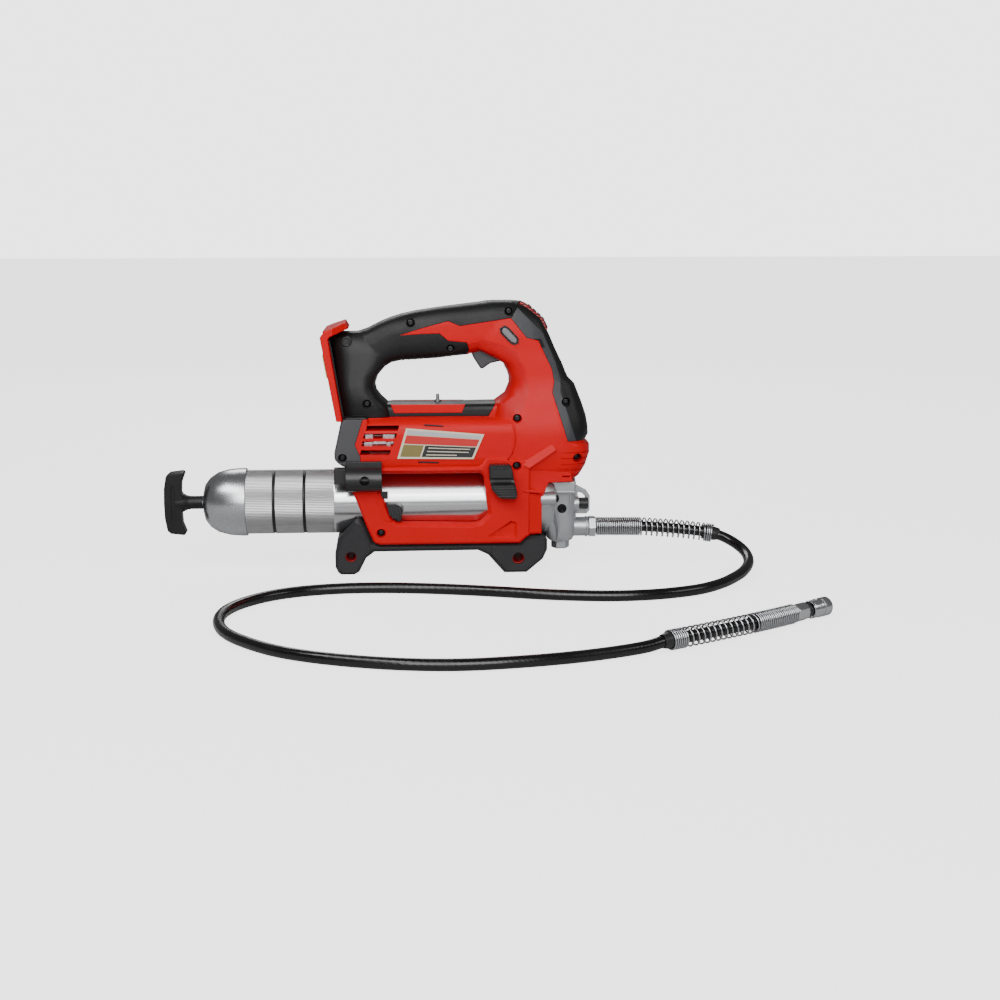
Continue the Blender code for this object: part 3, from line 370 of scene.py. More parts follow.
def moulded_grain():
    """Fine pebbled grain with slow shade changes, for plastic and rubber."""
    group, given, out = new_group("moulded grain", [
        ("Vector", "NodeSocketVector", None), ("Grain scale", "NodeSocketFloat", 900.0),
        ("Patch scale", "NodeSocketFloat", 28.0)],
        [("Shade", "NodeSocketFloat"), ("Height", "NodeSocketFloat"), ("Smudge", "NodeSocketFloat")])
    pebbles = add_node(group, "ShaderNodeTexVoronoi", feature="SMOOTH_F1")
    pebbles.inputs["Smoothness"].default_value = 0.6
    fine = add_node(group, "ShaderNodeTexNoise", Detail=3.0, Roughness=0.6)
    patch = add_node(group, "ShaderNodeTexNoise", Detail=4.0, Roughness=0.55, Distortion=0.4)
    for texture, scale in ((pebbles, "Grain scale"), (fine, "Grain scale"), (patch, "Patch scale")):
        link(group, given.outputs["Vector"], texture.inputs["Vector"])
        link(group, given.outputs[scale], texture.inputs["Scale"])
    height = maths(group, "ADD", maths(group, "MULTIPLY", pebbles.outputs["Distance"], 0.7),
                   maths(group, "MULTIPLY", fine.outputs["Fac"], 0.5))
    link(group, height, out.inputs["Height"])
    shade = maths(group, "ADD", maths(group, "MULTIPLY", patch.outputs["Fac"], 0.7),
                  maths(group, "MULTIPLY", fine.outputs["Fac"], 0.3), True)
    link(group, shade, out.inputs["Shade"])
    link(group, span(group, patch.outputs["Fac"], 0.0, 1.0, 0.42, 0.68), out.inputs["Smudge"])
    return group


def edge_wear():
    """A mask that is high on corners, broken up by scuffs."""
    group, given, out = new_group("edge wear", [
        ("Vector", "NodeSocketVector", None), ("Width", "NodeSocketFloat", 0.0012),
        ("Scuff scale", "NodeSocketFloat", 260.0)], [("Mask", "NodeSocketFloat")])
    rounded = add_node(group, "ShaderNodeBevel", samples=4)
    link(group, given.outputs["Width"], rounded.inputs["Radius"])
    surface = group.nodes.new("ShaderNodeNewGeometry")
    dot = group.nodes.new("ShaderNodeVectorMath")
    dot.operation = "DOT_PRODUCT"
    link(group, rounded.outputs["Normal"], dot.inputs[0])
    link(group, surface.outputs["Normal"], dot.inputs[1])
    corner = span(group, dot.outputs["Value"], 0.0, 1.0, 0.985, 0.88)
    scuffs = add_node(group, "ShaderNodeTexNoise", Detail=5.0, Roughness=0.7)
    link(group, given.outputs["Vector"], scuffs.inputs["Vector"])
    link(group, given.outputs["Scuff scale"], scuffs.inputs["Scale"])
    broken = span(group, scuffs.outputs["Fac"], 0.0, 1.0, 0.38, 0.62)
    link(group, maths(group, "MULTIPLY", corner, broken, True), out.inputs["Mask"])
    return group


def metal_lines():
    """Fine drawn or turned lines, with slow staining."""
    group, given, out = new_group("metal lines", [
        ("Vector", "NodeSocketVector", None), ("Line scale", "NodeSocketFloat", 60.0)],
        [("Shade", "NodeSocketFloat"), ("Height", "NodeSocketFloat")])
    lines = add_node(group, "ShaderNodeTexNoise", Detail=6.0, Roughness=0.7)
    stain = add_node(group, "ShaderNodeTexNoise", Scale=3.0, Detail=3.0)
    link(group, given.outputs["Vector"], lines.inputs["Vector"])
    link(group, given.outputs["Line scale"], lines.inputs["Scale"])
    link(group, given.outputs["Vector"], stain.inputs["Vector"])
    link(group, lines.outputs["Fac"], out.inputs["Height"])
    link(group, maths(group, "ADD", maths(group, "MULTIPLY", lines.outputs["Fac"], 0.6),
                      maths(group, "MULTIPLY", stain.outputs["Fac"], 0.4)), out.inputs["Shade"])
    return group


GROUPS = {}


def group_node(tree, maker, vector=None, **values):
    """One of the shared groups, placed in a material with its own values."""
    if maker.__name__ not in GROUPS:
        GROUPS[maker.__name__] = maker()
    made = tree.nodes.new("ShaderNodeGroup")
    made.node_tree = GROUPS[maker.__name__]
    if vector is not None:
        link(tree, vector, made.inputs["Vector"])
    for key, value in values.items():
        made.inputs[key.replace("_", " ")].default_value = value
    return made


# ---------------------------------------------------------------- finishes

def new_material(name, **sockets):
    """A material, its tree, its shader and its object coordinates."""
    made = bpy.data.materials.new(name)
    made.use_nodes = True
    tree = made.node_tree
    shader = tree.nodes["Principled BSDF"]
    for key, value in sockets.items():
        shader.inputs[key.replace("_", " ")].default_value = value
    coords = tree.nodes.new("ShaderNodeTexCoord")
    return made, tree, shader, coords.outputs["Object"]


def stretched(tree, vector, scale):
    """A vector with its own scale along each axis."""
    made = tree.nodes.new("ShaderNodeMapping")
    made.inputs["Scale"].default_value = scale
    link(tree, vector, made.inputs["Vector"])
    return made.outputs["Vector"]


def bumped(tree, height, shader, strength, distance, base=None):
    """Give a shader its relief, on top of a base normal."""
    made = add_node(tree, "ShaderNodeBump", Strength=strength, Distance=distance)
    link(tree, height, made.inputs["Height"])
    if base is not None:
        link(tree, base, made.inputs["Normal"])
    link(tree, made.outputs["Normal"], shader.inputs["Normal"])


def tones(shade, vary, gain, lift):
    """A colour's dark and light ends, and its tone where it is worn."""
    return (tuple(c * (1.0 - vary) for c in shade), tuple(min(1.0, c * (1.0 + vary)) for c in shade),
            tuple(min(1.0, c * gain + lift) for c in shade))


def skinned(tree, shader, surface, corner, shades, wear, rough, radius, depth, reach):
    """Wire a surface group and a worn corner mask into a shader.

    shades are the dark, light and worn colours, and rough is the socket that gives the roughness."""
    dark, light, pale = shades
    shade = blend_colours(tree, surface.outputs["Shade"], dark, light)
    worn = blend_colours(tree, maths(tree, "MULTIPLY", corner.outputs["Mask"], wear), shade, pale)
    link(tree, worn, shader.inputs["Base Color"])
    link(tree, rough, shader.inputs["Roughness"])
    rounded = add_node(tree, "ShaderNodeBevel", samples=4)
    rounded.inputs["Radius"].default_value = radius
    bumped(tree, surface.outputs["Height"], shader, depth, reach, rounded.outputs["Normal"])


def plastic(name, shade, rough, grain=700.0, depth=0.25, wear=0.3, vary=0.12, coat=0.0, specular=0.5):
    """Moulded plastic or rubber: pebbled grain, slow shade changes, polished and scuffed corners."""
    made, tree, shader, where = new_material(name, Coat_Weight=coat, Coat_Roughness=0.25,
                                             Specular_IOR_Level=specular)
    surface = group_node(tree, moulded_grain, where, Grain_scale=grain)
    corner = group_node(tree, edge_wear, where)
    polish = maths(tree, "MULTIPLY", corner.outputs["Mask"], 0.12)
    smudged = span(tree, surface.outputs["Smudge"], rough * 0.9, rough * 1.12)
    skinned(tree, shader, surface, corner, tones(shade, vary, 1.35, 0.004), wear,
            maths(tree, "SUBTRACT", smudged, polish, True), 0.0005, depth, 0.00012)
    return made


def metal(name, shade, rough, lines=(1.0, 1.0, 1.0), scale=400.0, depth=0.15, vary=0.1, wear=0.4):
    """Drawn, cast or turned metal, with lines along the direction of the smallest scale."""
    made, tree, shader, where = new_material(name, Metallic=1.0)
    surface = group_node(tree, metal_lines, stretched(tree, where, lines), Line_scale=scale)
    corner = group_node(tree, edge_wear, where, Width=0.0006)
    skinned(tree, shader, surface, corner, tones(shade, vary, 1.3, 0.05), wear,
            span(tree, surface.outputs["Shade"], rough * 0.8, rough * 1.2), 0.0003, depth, 0.0001)
    return made


def cast_metal():
    """Die cast aluminium with a fine sandy skin."""
    made, tree, shader, where = new_material("cast_aluminium_skin", Metallic=0.85)
    surface = group_node(tree, moulded_grain, where, Grain_scale=520.0, Patch_scale=45.0)
    corner = group_node(tree, edge_wear, where, Width=0.0014, Scuff_scale=180.0)
    shades = (0.42, 0.44, 0.46), (0.62, 0.64, 0.66), (0.82, 0.83, 0.85)
    skinned(tree, shader, surface, corner, shades, 0.6, span(tree, surface.outputs["Smudge"], 0.36, 0.5),
            0.0008, 0.35, 0.0002)
    return made


def tinted_lens():
    """Dark red lamp cover with ribs across it."""
    made, tree, shader, where = new_material("lamp_cover_red", Coat_Weight=0.6, Coat_Roughness=0.08)
    ribs = add_node(tree, "ShaderNodeTexWave", Scale=110.0, Distortion=0.2)
    ribs.bands_direction = "Z"
    link(tree, where, ribs.inputs["Vector"])
    shade = blend_colours(tree, ribs.outputs["Fac"], (0.08, 0.002, 0.004), (0.36, 0.008, 0.012))
    link(tree, shade, shader.inputs["Base Color"])
    link(tree, span(tree, ribs.outputs["Fac"], 0.1, 0.28), shader.inputs["Roughness"])
    bumped(tree, ribs.outputs["Fac"], shader, 0.4, 0.0003)
    return made


def hose_cover(shade):
    """Glossy extruded rubber with a faint wrapped weave."""
    made, tree, shader, where = new_material("hose_cover", Coat_Weight=0.2, Coat_Roughness=0.1)
    surface = group_node(tree, moulded_grain, where, Grain_scale=300.0, Patch_scale=24.0)
    wrap = add_node(tree, "ShaderNodeTexWave", Scale=140.0, Distortion=1.5, Detail=2.0)
    wrap.bands_direction = "DIAGONAL"
    link(tree, where, wrap.inputs["Vector"])
    link(tree, blend_colours(tree, surface.outputs["Shade"], tuple(c * 0.7 for c in shade),
                             tuple(c * 1.8 for c in shade)), shader.inputs["Base Color"])
    link(tree, span(tree, surface.outputs["Smudge"], 0.2, 0.34), shader.inputs["Roughness"])
    bumped(tree, wrap.outputs["Fac"], shader, 0.12, 0.0002)
    return made


def circuit_board():
    """Green board with copper runs."""
    made, tree, shader, where = new_material("solder_mask")
    runs = add_node(tree, "ShaderNodeTexBrick", Scale=320.0)
    link(tree, where, runs.inputs["Vector"])
    link(tree, blend_colours(tree, runs.outputs["Fac"], (0.01, 0.13, 0.05), (0.03, 0.25, 0.1)),
         shader.inputs["Base Color"])
    surface = group_node(tree, moulded_grain, where)
    link(tree, span(tree, surface.outputs["Smudge"], 0.35, 0.55), shader.inputs["Roughness"])
    return made


FINISHES = {}


def make_finishes(settings):
    """Every finish of the tool, by the name that the pieces use."""
    red, rubber = tuple(settings.red), tuple(settings.rubber)
    FINISHES.update({
        "red_plastic": plastic("shell_red", red, 0.4, 620.0, 0.16, 0.15, 0.07, specular=0.16),
        "deep_red": plastic("shell_red_deep", tuple(c * 0.55 for c in red), 0.4, 620.0, 0.16, 0.15, 0.07),
        "black_rubber": plastic("grip_rubber", rubber, 0.46, 480.0, 0.5, 0.3, 0.3, specular=0.32),
        # Paler grey rubber. It is the bumper's side band, and on the release knob's ribs it is a painted
        # highlight.
        "slate_rubber": plastic("bumper_band_rubber", (0.036, 0.037, 0.042), 0.5, 520.0, 0.3, 0.3, 0.15),
        "boot_rubber": plastic("boot_rubber", tuple(c * 2.6 for c in rubber), 0.5, 460.0, 0.45, 0.4, 0.2,
                               specular=0.4),
        "grey_plastic": plastic("dark_nylon", (0.055, 0.055, 0.06), 0.5, 560.0, 0.3, 0.3, 0.2),
        "button_grey": plastic("button_grey", (0.2, 0.2, 0.21), 0.48, 560.0, 0.25, 0.3, 0.12),
        "black_nylon": plastic("clip_black", (0.016, 0.016, 0.017), 0.36, 420.0, 0.3, 0.3, 0.2),
        "cast_aluminium": cast_metal(),
        "bright_steel": metal("plated_steel", (0.66, 0.67, 0.69), 0.24),
        "barrel_steel": metal("barrel_polish", (0.74, 0.75, 0.77), 0.19, (0.5, 12.0, 12.0), 90.0, 0.05, 0.05),
        # The lined bands' steel is darker than the polish and strongly streaked along the barrel. This is
        # partly the metal's own grain and partly painted shade and glints of the flutes.
        "lined_steel": metal("barrel_lined", (0.5, 0.5, 0.51), 0.34, (0.1, 9.0, 9.0), 130.0, 0.45, 0.55),
        "dome_steel": metal("dome_satin", (0.56, 0.57, 0.59), 0.27, (9.0, 1.0, 1.0), 160.0, 0.12, 0.08),
        "guard_wire": metal("guard_wire", (0.55, 0.56, 0.58), 0.22, depth=0.03, vary=0.04, wear=0.0),
        "dark_steel": metal("black_oxide", (0.045, 0.045, 0.048), 0.42),
        "black_oxide_steel": metal("black_oxide_plug", (0.025, 0.025, 0.028), 0.45),
        # Darker red for the neck's inner face, painted shade where the neck turns in. It is also a little
        # smoother and glossier.
        "neck_red": plastic("shell_red_neck", tuple(c * 0.86 for c in red), 0.36, 620.0, 0.1, 0.15, 0.06,
                            specular=0.2),
        "gear_steel": metal("gear_steel", (0.4, 0.4, 0.42), 0.35),
        "contact_brass": metal("contact_brass", (0.72, 0.5, 0.2), 0.3),
        "board_green": circuit_board(),
        "red_lens": tinted_lens(),
        "hose_rubber": hose_cover(tuple(settings.hose)),
        "seal_rubber": plastic("oil_seal", (0.035, 0.022, 0.016), 0.6, 300.0, 0.3, 0.2, 0.2),
        "label_cream": plastic("label_cream", (0.72, 0.66, 0.5), 0.45, 300.0, 0.05, 0.1, 0.05),
        "label_grey": plastic("label_grey", (0.5, 0.5, 0.52), 0.45, 300.0, 0.05, 0.1, 0.08),
        "label_red": plastic("label_red", (0.6, 0.02, 0.02), 0.42, 300.0, 0.05, 0.1, 0.08),
        "label_black": plastic("label_black", (0.02, 0.02, 0.022), 0.42, 300.0, 0.05, 0.1, 0.2),
        "label_olive": plastic("label_olive", (0.22, 0.17, 0.05), 0.45, 300.0, 0.05, 0.1, 0.2),
    })


# ---------------------------------------------------------------- builders

def loose_object(name, bm):
    """A new object that takes over a mesh."""
    mesh = bpy.data.meshes.new(name)
    bm.to_mesh(mesh)
    bm.free()
    made = bpy.data.objects.new(name, mesh)
    bpy.context.scene.collection.objects.link(made)
    return made


def settle(name, bm, body, *finishes, slot=None):
    """Store a mesh in frame metres as a finished piece that rides on a body."""
    made = loose_object(name, bm)
    for finish in finishes:
        made.data.materials.append(FINISHES[finish])
    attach(made, body)
    return made


def smooth_by_angle(bm, angle=SHARP):
    """Shade every face smooth and keep the edges sharper than the angle."""
    limit = math.radians(angle)
    for face in bm.faces:
        face.smooth = True
    for edge in bm.edges:
        edge.smooth = len(edge.link_faces) == 2 and edge.calc_face_angle(0.0) < limit


def round_edges(target, width, segments=2, angle=SHARP):
    """Live rounding of a piece's corners, with its flat faces kept flat."""
    mod = target.modifiers.new("rounded corners", "BEVEL")
    mod.width = width
    mod.segments = segments
    mod.limit_method = "ANGLE"
    mod.angle_limit = math.radians(angle)
    mod.harden_normals = False
    mod.use_clamp_overlap = True
    flat = target.modifiers.new("flat faces", "WEIGHTED_NORMAL")
    flat.keep_sharp = True


def copy_of(node):
    """A CAD node's shape as one closed mesh, its flat faces joined."""
    bm = bmesh.new()
    bm.from_mesh(frame["nodes"][node].data)
    bmesh.ops.remove_doubles(bm, verts=bm.verts, dist=1e-6)
    bmesh.ops.dissolve_limit(bm, angle_limit=math.radians(0.6), verts=bm.verts, edges=bm.edges,
                             delimit={"NORMAL"})
    return bm


def refined(node, finish, width=0.0006, segments=2, name=None, angle=SHARP):
    """A CAD node's shape with its corners rounded and a proper finish, in its place."""
    return finished_copy(copy_of(node), node, (finish,), width, segments, angle, name)


def turned(bm, profile, centre, axis=AHEAD, steps=48, ring=False):
    """Spin a profile of (along, radius), in millimetres, about an axis through a point."""
    side = axis.orthogonal().normalized()
    if abs(axis.z) < 0.9:
        side = (UP - axis * axis.z).normalized()
    line = [bm.verts.new(centre + axis * (a * MM) + side * (r * MM)) for a, r in profile]
    edges = [bm.edges.new(pair) for pair in zip(line, line[1:])]
    if ring:
        edges.append(bm.edges.new((line[-1], line[0])))
    bmesh.ops.spin(bm, geom=line + edges, cent=centre, axis=axis, angle=2.0 * math.pi, steps=steps,
                   use_merge=True)
    bmesh.ops.remove_doubles(bm, verts=bm.verts, dist=1e-7)


def close_up(bm, angle=SHARP):
    """Merge what meets, face outwards, and shade round parts smooth."""
    bmesh.ops.remove_doubles(bm, verts=bm.verts, dist=1e-7)
    bmesh.ops.recalc_face_normals(bm, faces=bm.faces)
    smooth_by_angle(bm, angle)


def slab(bm, outline, y0, y1, material=0):
    """A closed outline in x and z, pulled along y. Drawing millimetres."""
    face = bm.faces.new([bm.verts.new(spot(x, y0, z)) for x, z in outline])
    pulled = bmesh.ops.extrude_face_region(bm, geom=[face])
    moved = [v for v in pulled["geom"] if isinstance(v, bmesh.types.BMVert)]
    bmesh.ops.translate(bm, verts=moved, vec=Vector((0.0, (y1 - y0) * MM, 0.0)))
    touched = {f for v in moved for f in v.link_faces} | {face}
    for item in touched:
        item.material_index = material
    return touched


def mirrored(bm, outlines, y0, y1):
    """A slab of every outline on both sides of the tool."""
    for way in SIDES:
        for outline in outlines:
            slab(bm, outline, way * y0, way * y1)


def box_outline(x0, x1, z0, z1):
    """The four corners of an upright rectangle."""
    return [(x0, z0), (x1, z0), (x1, z1), (x0, z1)]


def carved(bm, tool, operation):
    """The first shape with the second joined to it or cut from it. Both are closed."""
    bmesh.ops.recalc_face_normals(tool, faces=tool.faces)
    target, other = loose_object("carve_target", bm), loose_object("carve_tool", tool)
    mod = target.modifiers.new("carve", "BOOLEAN")
    mod.operation = operation
    mod.solver = "EXACT"
    mod.object = other
    bpy.context.view_layer.update()
    done = target.evaluated_get(bpy.context.evaluated_depsgraph_get())
    result = bmesh.new()
    result.from_mesh(done.to_mesh())
    for item in (target, other):
        mesh = item.data
        bpy.data.objects.remove(item, do_unlink=True)
        bpy.data.meshes.remove(mesh)
    bmesh.ops.remove_doubles(result, verts=result.verts, dist=2e-6)
    return result


def grow(outline, by):
    """Move every side of a closed outline outwards."""
    count = len(outline)
    area = sum(ax * bz - bx * az for (ax, az), (bx, bz) in zip(outline, outline[1:] + outline[:1]))
    side = 1.0 if area > 0.0 else -1.0
    grown = []
    for i in range(count):
        here = Vector(outline[i])
        back = (here - Vector(outline[i - 1])).normalized()
        ahead = (Vector(outline[(i + 1) % count]) - here).normalized()
        n0, n1 = Vector((back.y, -back.x)) * side, Vector((ahead.y, -ahead.x)) * side
        grown.append(tuple(here + (n0 + n1) * (by / max(0.35, 1.0 + n0.dot(n1)))))
    return grown


def bridge(bm, loops):
    """A closed solid between two rings with as many vertices."""
    edges = [[bm.edges.new((loop[i - 1], loop[i])) for i in range(len(loop))] for loop in loops]
    bmesh.ops.bridge_loops(bm, edges=edges[0] + edges[1])
    for loop in loops:
        bm.faces.new(loop)


def loft(bm, sections, power, steps=40):
    """A closed solid through rounded sections, given as (height, back, front, half width)."""
    rings = []
    for z, back, front, half in sections:
        ring = []
        for k in range(steps):
            angle = 2.0 * math.pi * k / steps
            c, d = math.cos(angle), math.sin(angle)
            ring.append(bm.verts.new(spot(
                (back + front) / 2.0 + (front - back) / 2.0 * math.copysign(abs(c) ** (2.0 / power), c),
                half * math.copysign(abs(d) ** (2.0 / power), d), z)))
        rings.append(ring)
    edges = [[bm.edges.new((ring[i - 1], ring[i])) for i in range(steps)] for ring in rings]
    for low, high in zip(edges, edges[1:]):
        bmesh.ops.bridge_loops(bm, edges=low + high)
    bm.faces.new(rings[0])
    bm.faces.new(rings[-1])


def prism(bm, low, high):
    """A closed solid between two rings of drawing points."""
    bridge(bm, [[bm.verts.new(spot(*point)) for point in ring] for ring in (low, high)])


def tapered_slab(bm, inner, y0, outer, y1):
    """A closed solid between one outline at y0 and another, with as many points, at y1."""
    prism(bm, [(x, y0, z) for x, z in inner], [(x, y1, z) for x, z in outer])


def nose_ring(height, inset, outset, reach=78.0):
    """Points of a band that follows the nose's front at a height: (outer line, inner line)."""
    for low, high in zip(NOSE_SECTIONS, NOSE_SECTIONS[1:]):
        if low[0] <= height <= high[0]:
            t = (height - low[0]) / (high[0] - low[0])
            back, front, half = (a + (b - a) * t for a, b in zip(low[1:], high[1:]))
    lines = []
    for grow_by in (outset, -inset):
        line = []
        for k in range(-20, 21):
            angle = math.radians(reach) * k / 20.0
            c, d = math.cos(angle), math.sin(angle)
            reach_x = ((front - back) / 2.0 + grow_by) * abs(c) ** (2.0 / NOSE_POWER)
            line.append(((back + front) / 2.0 + reach_x,
                         (half + grow_by) * math.copysign(abs(d) ** (2.0 / NOSE_POWER), d)))
        lines.append(line)
    return lines


def ring_slab(bm, inner, outer, y0, y1):
    """A flat frame between two outlines, pulled along y."""
    loops = [[bm.verts.new(spot(x, y0, z)) for x, z in outline] for outline in (inner, outer)]
    edges = [bm.edges.new((loop[i - 1], loop[i])) for loop in loops for i in range(len(loop))]
    made = bmesh.ops.bridge_loops(bm, edges=edges)
    pulled = bmesh.ops.extrude_face_region(bm, geom=made["faces"])
    bmesh.ops.translate(bm, verts=[v for v in pulled["geom"] if isinstance(v, bmesh.types.BMVert)],
                        vec=Vector((0.0, (y1 - y0) * MM, 0.0)))


def inside(outline, x, z):
    """Whether a drawing point lies in a closed outline."""
    found = False
    for (ax, az), (bx, bz) in zip(outline, outline[1:] + outline[:1]):
        if (az > z) != (bz > z) and x < (bx - ax) * (z - az) / (bz - az) + ax:
            found = not found
    return found


def cut_along(bm, line):
    """Split the faces on a line in x and z, so that what lies beside it can have its own finish."""
    for (ax, az), (bx, bz) in zip(line, line[1:]):
        a, b = spot(ax, 0.0, az), spot(bx, 0.0, bz)
        low, high = min(a.z, b.z) - MM, max(a.z, b.z) + MM
        faces = [f for f in bm.faces
                 if min(v.co.z for v in f.verts) < high and max(v.co.z for v in f.verts) > low]
        edges = list({e for f in faces for e in f.edges})
        verts = list({v for f in faces for v in f.verts})
        bmesh.ops.bisect_plane(bm, geom=verts + edges + faces, plane_co=a, dist=1e-6,
                               plane_no=(b - a).cross(LEFT).normalized())


def paint_inside(bm, outline, material):
    """Give the faces whose middle lies in an outline another finish."""
    for face in bm.faces:
        middle = face.calc_center_median()
        if inside(outline, middle.x / MM + DRAWING_X, middle.z / MM):
            face.material_index = material


def finished_copy(bm, node, finishes, width, segments=2, angle=SHARP, name=None):
    """A worked copy of a CAD node, rounded and shown in the node's place."""
    smooth_by_angle(bm, angle)
    made = settle(name or node + "_skin", bm, BODY_OF[node], *finishes, slot=SLOT_OF.get(node))
    round_edges(made, width, segments, angle)
    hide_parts(node)
    return made


def plain_piece(name, bm, finish, width=0.0004, body="body", angle=SHARP, segments=2):
    """A fitting with no CAD node of its own."""
    close_up(bm, angle)
    made = settle(name, bm, body, finish, slot=finish if finish in SLOT_OF.values() else None)
    round_edges(made, width, segments, angle)
    return made


def smooth_line(points, parts):
    """More points on a smooth curve through the given ones."""
    knots = [Vector(p) for p in points]
    line = []
    for i in range(len(knots) - 1):
        p0, p1, p2 = knots[max(i - 1, 0)], knots[i], knots[i + 1]
        p3 = knots[min(i + 2, len(knots) - 1)]
        for k in range(parts):
            t = k / parts
            line.append(0.5 * (2.0 * p1 + (p2 - p0) * t + (2.0 * p0 - 5.0 * p1 + 4.0 * p2 - p3) * t * t
                               + (3.0 * p1 - p0 - 3.0 * p2 + p3) * t ** 3))
    line.append(knots[-1])
    return line


def wire_curve(name, lines, radius, rounds):
    """A curve object with a round section along lists of frame points."""
    curve = bpy.data.curves.new(name, "CURVE")
    curve.dimensions = "3D"
    curve.bevel_depth = radius
    curve.bevel_resolution = rounds
    curve.use_fill_caps = True
    for line in lines:
        spline = curve.splines.new("POLY")
        spline.points.add(len(line) - 1)
        for point, co in zip(spline.points, line):
            point.co = (*co, 1.0)
    made = bpy.data.objects.new(name, curve)
    bpy.context.scene.collection.objects.link(made)
    return made


def wire_piece(name, lines, radius, body, finish, rounds=2):
    """A finished wire_curve that rides on a body."""
    made = wire_curve(name, lines, radius, rounds)
    made.data.materials.append(FINISHES[finish])
    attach(made, body)
    return made


def wound_spring(node, along, wire, turns, joint, travel, fixed_end):
    """A coil in place of a plain sleeve.

    along is the index of the spring's axis, and fixed_end is 0 for its low end or 1 for its high end."""
    low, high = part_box(node)
    way = Vector((0.0, 0.0, 0.0))
    way[along] = 1.0
    up = way.cross(LEFT)
    middle = (low + high) / 2.0
    radius = (high.y - low.y - wire) / 2.0
    length = high[along] - low[along]
    line = []
    for k in range(turns * SPRING_POINTS + 1):
        angle = 2.0 * math.pi * k / SPRING_POINTS
        share = k / (turns * SPRING_POINTS) - 0.5
        line.append(middle + way * ((length - wire) * share)
                    + (LEFT * math.cos(angle) + up * math.sin(angle)) * radius)
    curve = wire_curve(node + "_line", [line], wire / 2.0, 1)
    bpy.context.view_layer.update()
    mesh = bpy.data.meshes.new_from_object(curve.evaluated_get(bpy.context.evaluated_depsgraph_get()))
    bm = bmesh.new()
    bm.from_mesh(mesh)
    bpy.data.objects.remove(curve, do_unlink=True)
    bpy.data.meshes.remove(mesh)
    close_up(bm, 60.0)
    coil = settle(node + "_coil", bm, BODY_OF[node], "bright_steel", slot=SLOT_OF.get(node))
    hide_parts(node)
    if joint:
        anchor = middle.copy()
        anchor[along] = (low, high)[fixed_end][along]
        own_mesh(coil)


# ---------------------------------------------------------------- hose and guards

def guard_coil(path, runs, radius, wire, points_a_turn):
    """A helix round a path. runs is a list of (share of the path's length, pitch in wires)."""
    line = smooth_line([spot(*p) for p in path], 6)
    lengths = [0.0]
    for one, two in zip(line, line[1:]):
        lengths.append(lengths[-1] + (two - one).length)
    total = lengths[-1]
    out, travelled, angle, i = [], 0.0, 0.0, 0
    side = LEFT
    while travelled < total:
        while i < len(line) - 2 and lengths[i + 1] < travelled:
            i += 1
        t = (travelled - lengths[i]) / (lengths[i + 1] - lengths[i])
        way = (line[i + 1] - line[i]).normalized()
        side = (side - way * side.dot(way)).normalized()
        up = way.cross(side)
        middle = line[i].lerp(line[i + 1], t)
        out.append(middle + (side * math.cos(angle) + up * math.sin(angle)) * (radius - wire / 2.0))
        share = travelled / total
        reach = 0.0
        pitch = runs[-1][1]
        for part, wires in runs:
            reach += part
            if share < reach:
                pitch = wires
                break
        angle += 2.0 * math.pi / points_a_turn
        travelled += pitch * wire / points_a_turn
    return out


class GREASE_GUN_OT_hose(bpy.types.Operator):
    """Lay the whip hose along its route"""
    bl_idname = "grease_gun.hose"
    bl_label = "Whip Hose"

    def execute(self, context):
        line = smooth_line([spot(*p) for p in HOSE_POINTS], 6)
        hose = wire_piece("whip_hose", [line], context.scene.grease_gun_hose.radius, BODY_OF["hose"],
                          "hose_rubber", 6)
        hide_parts("hose")
        return {"FINISHED"}


class GREASE_GUN_OT_guards(bpy.types.Operator):
    """Wind the two spring guards round the hose's ends"""
    bl_idname = "grease_gun.guards"
    bl_label = "Spring Guards"

    def execute(self, context):
        settings = context.scene.grease_gun_hose
        for node, path, runs in (("hose_spring_near", NEAR_GUARD, NEAR_RUNS),
                                 ("hose_spring_far", FAR_GUARD, FAR_RUNS)):
            radius = min(settings.coil, min(point[2] for point in path) * MM)
            line = guard_coil(path, runs, radius, settings.wire, settings.points_a_turn)
            made = wire_piece(node + "_coil", [line], settings.wire / 2.0, BODY_OF[node], "guard_wire")
            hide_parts(node)
        for end, path in (("near", NEAR_GUARD[::-1]), ("far", FAR_GUARD)):
            start = spot(*path[0])
            along = (spot(*path[1]) - start).normalized()
            bm = bmesh.new()
            turned(bm, [(-6.5, 4.8), (-6.5, 5.3), (-2.0, 6.3), (9.0, 6.4), (9.0, 4.8)], start, along, 28,
                   ring=True)
            close_up(bm)
            settle(end + "_strain_sleeve", bm, BODY_OF["hose_spring_" + end], "black_nylon")
        return {"FINISHED"}


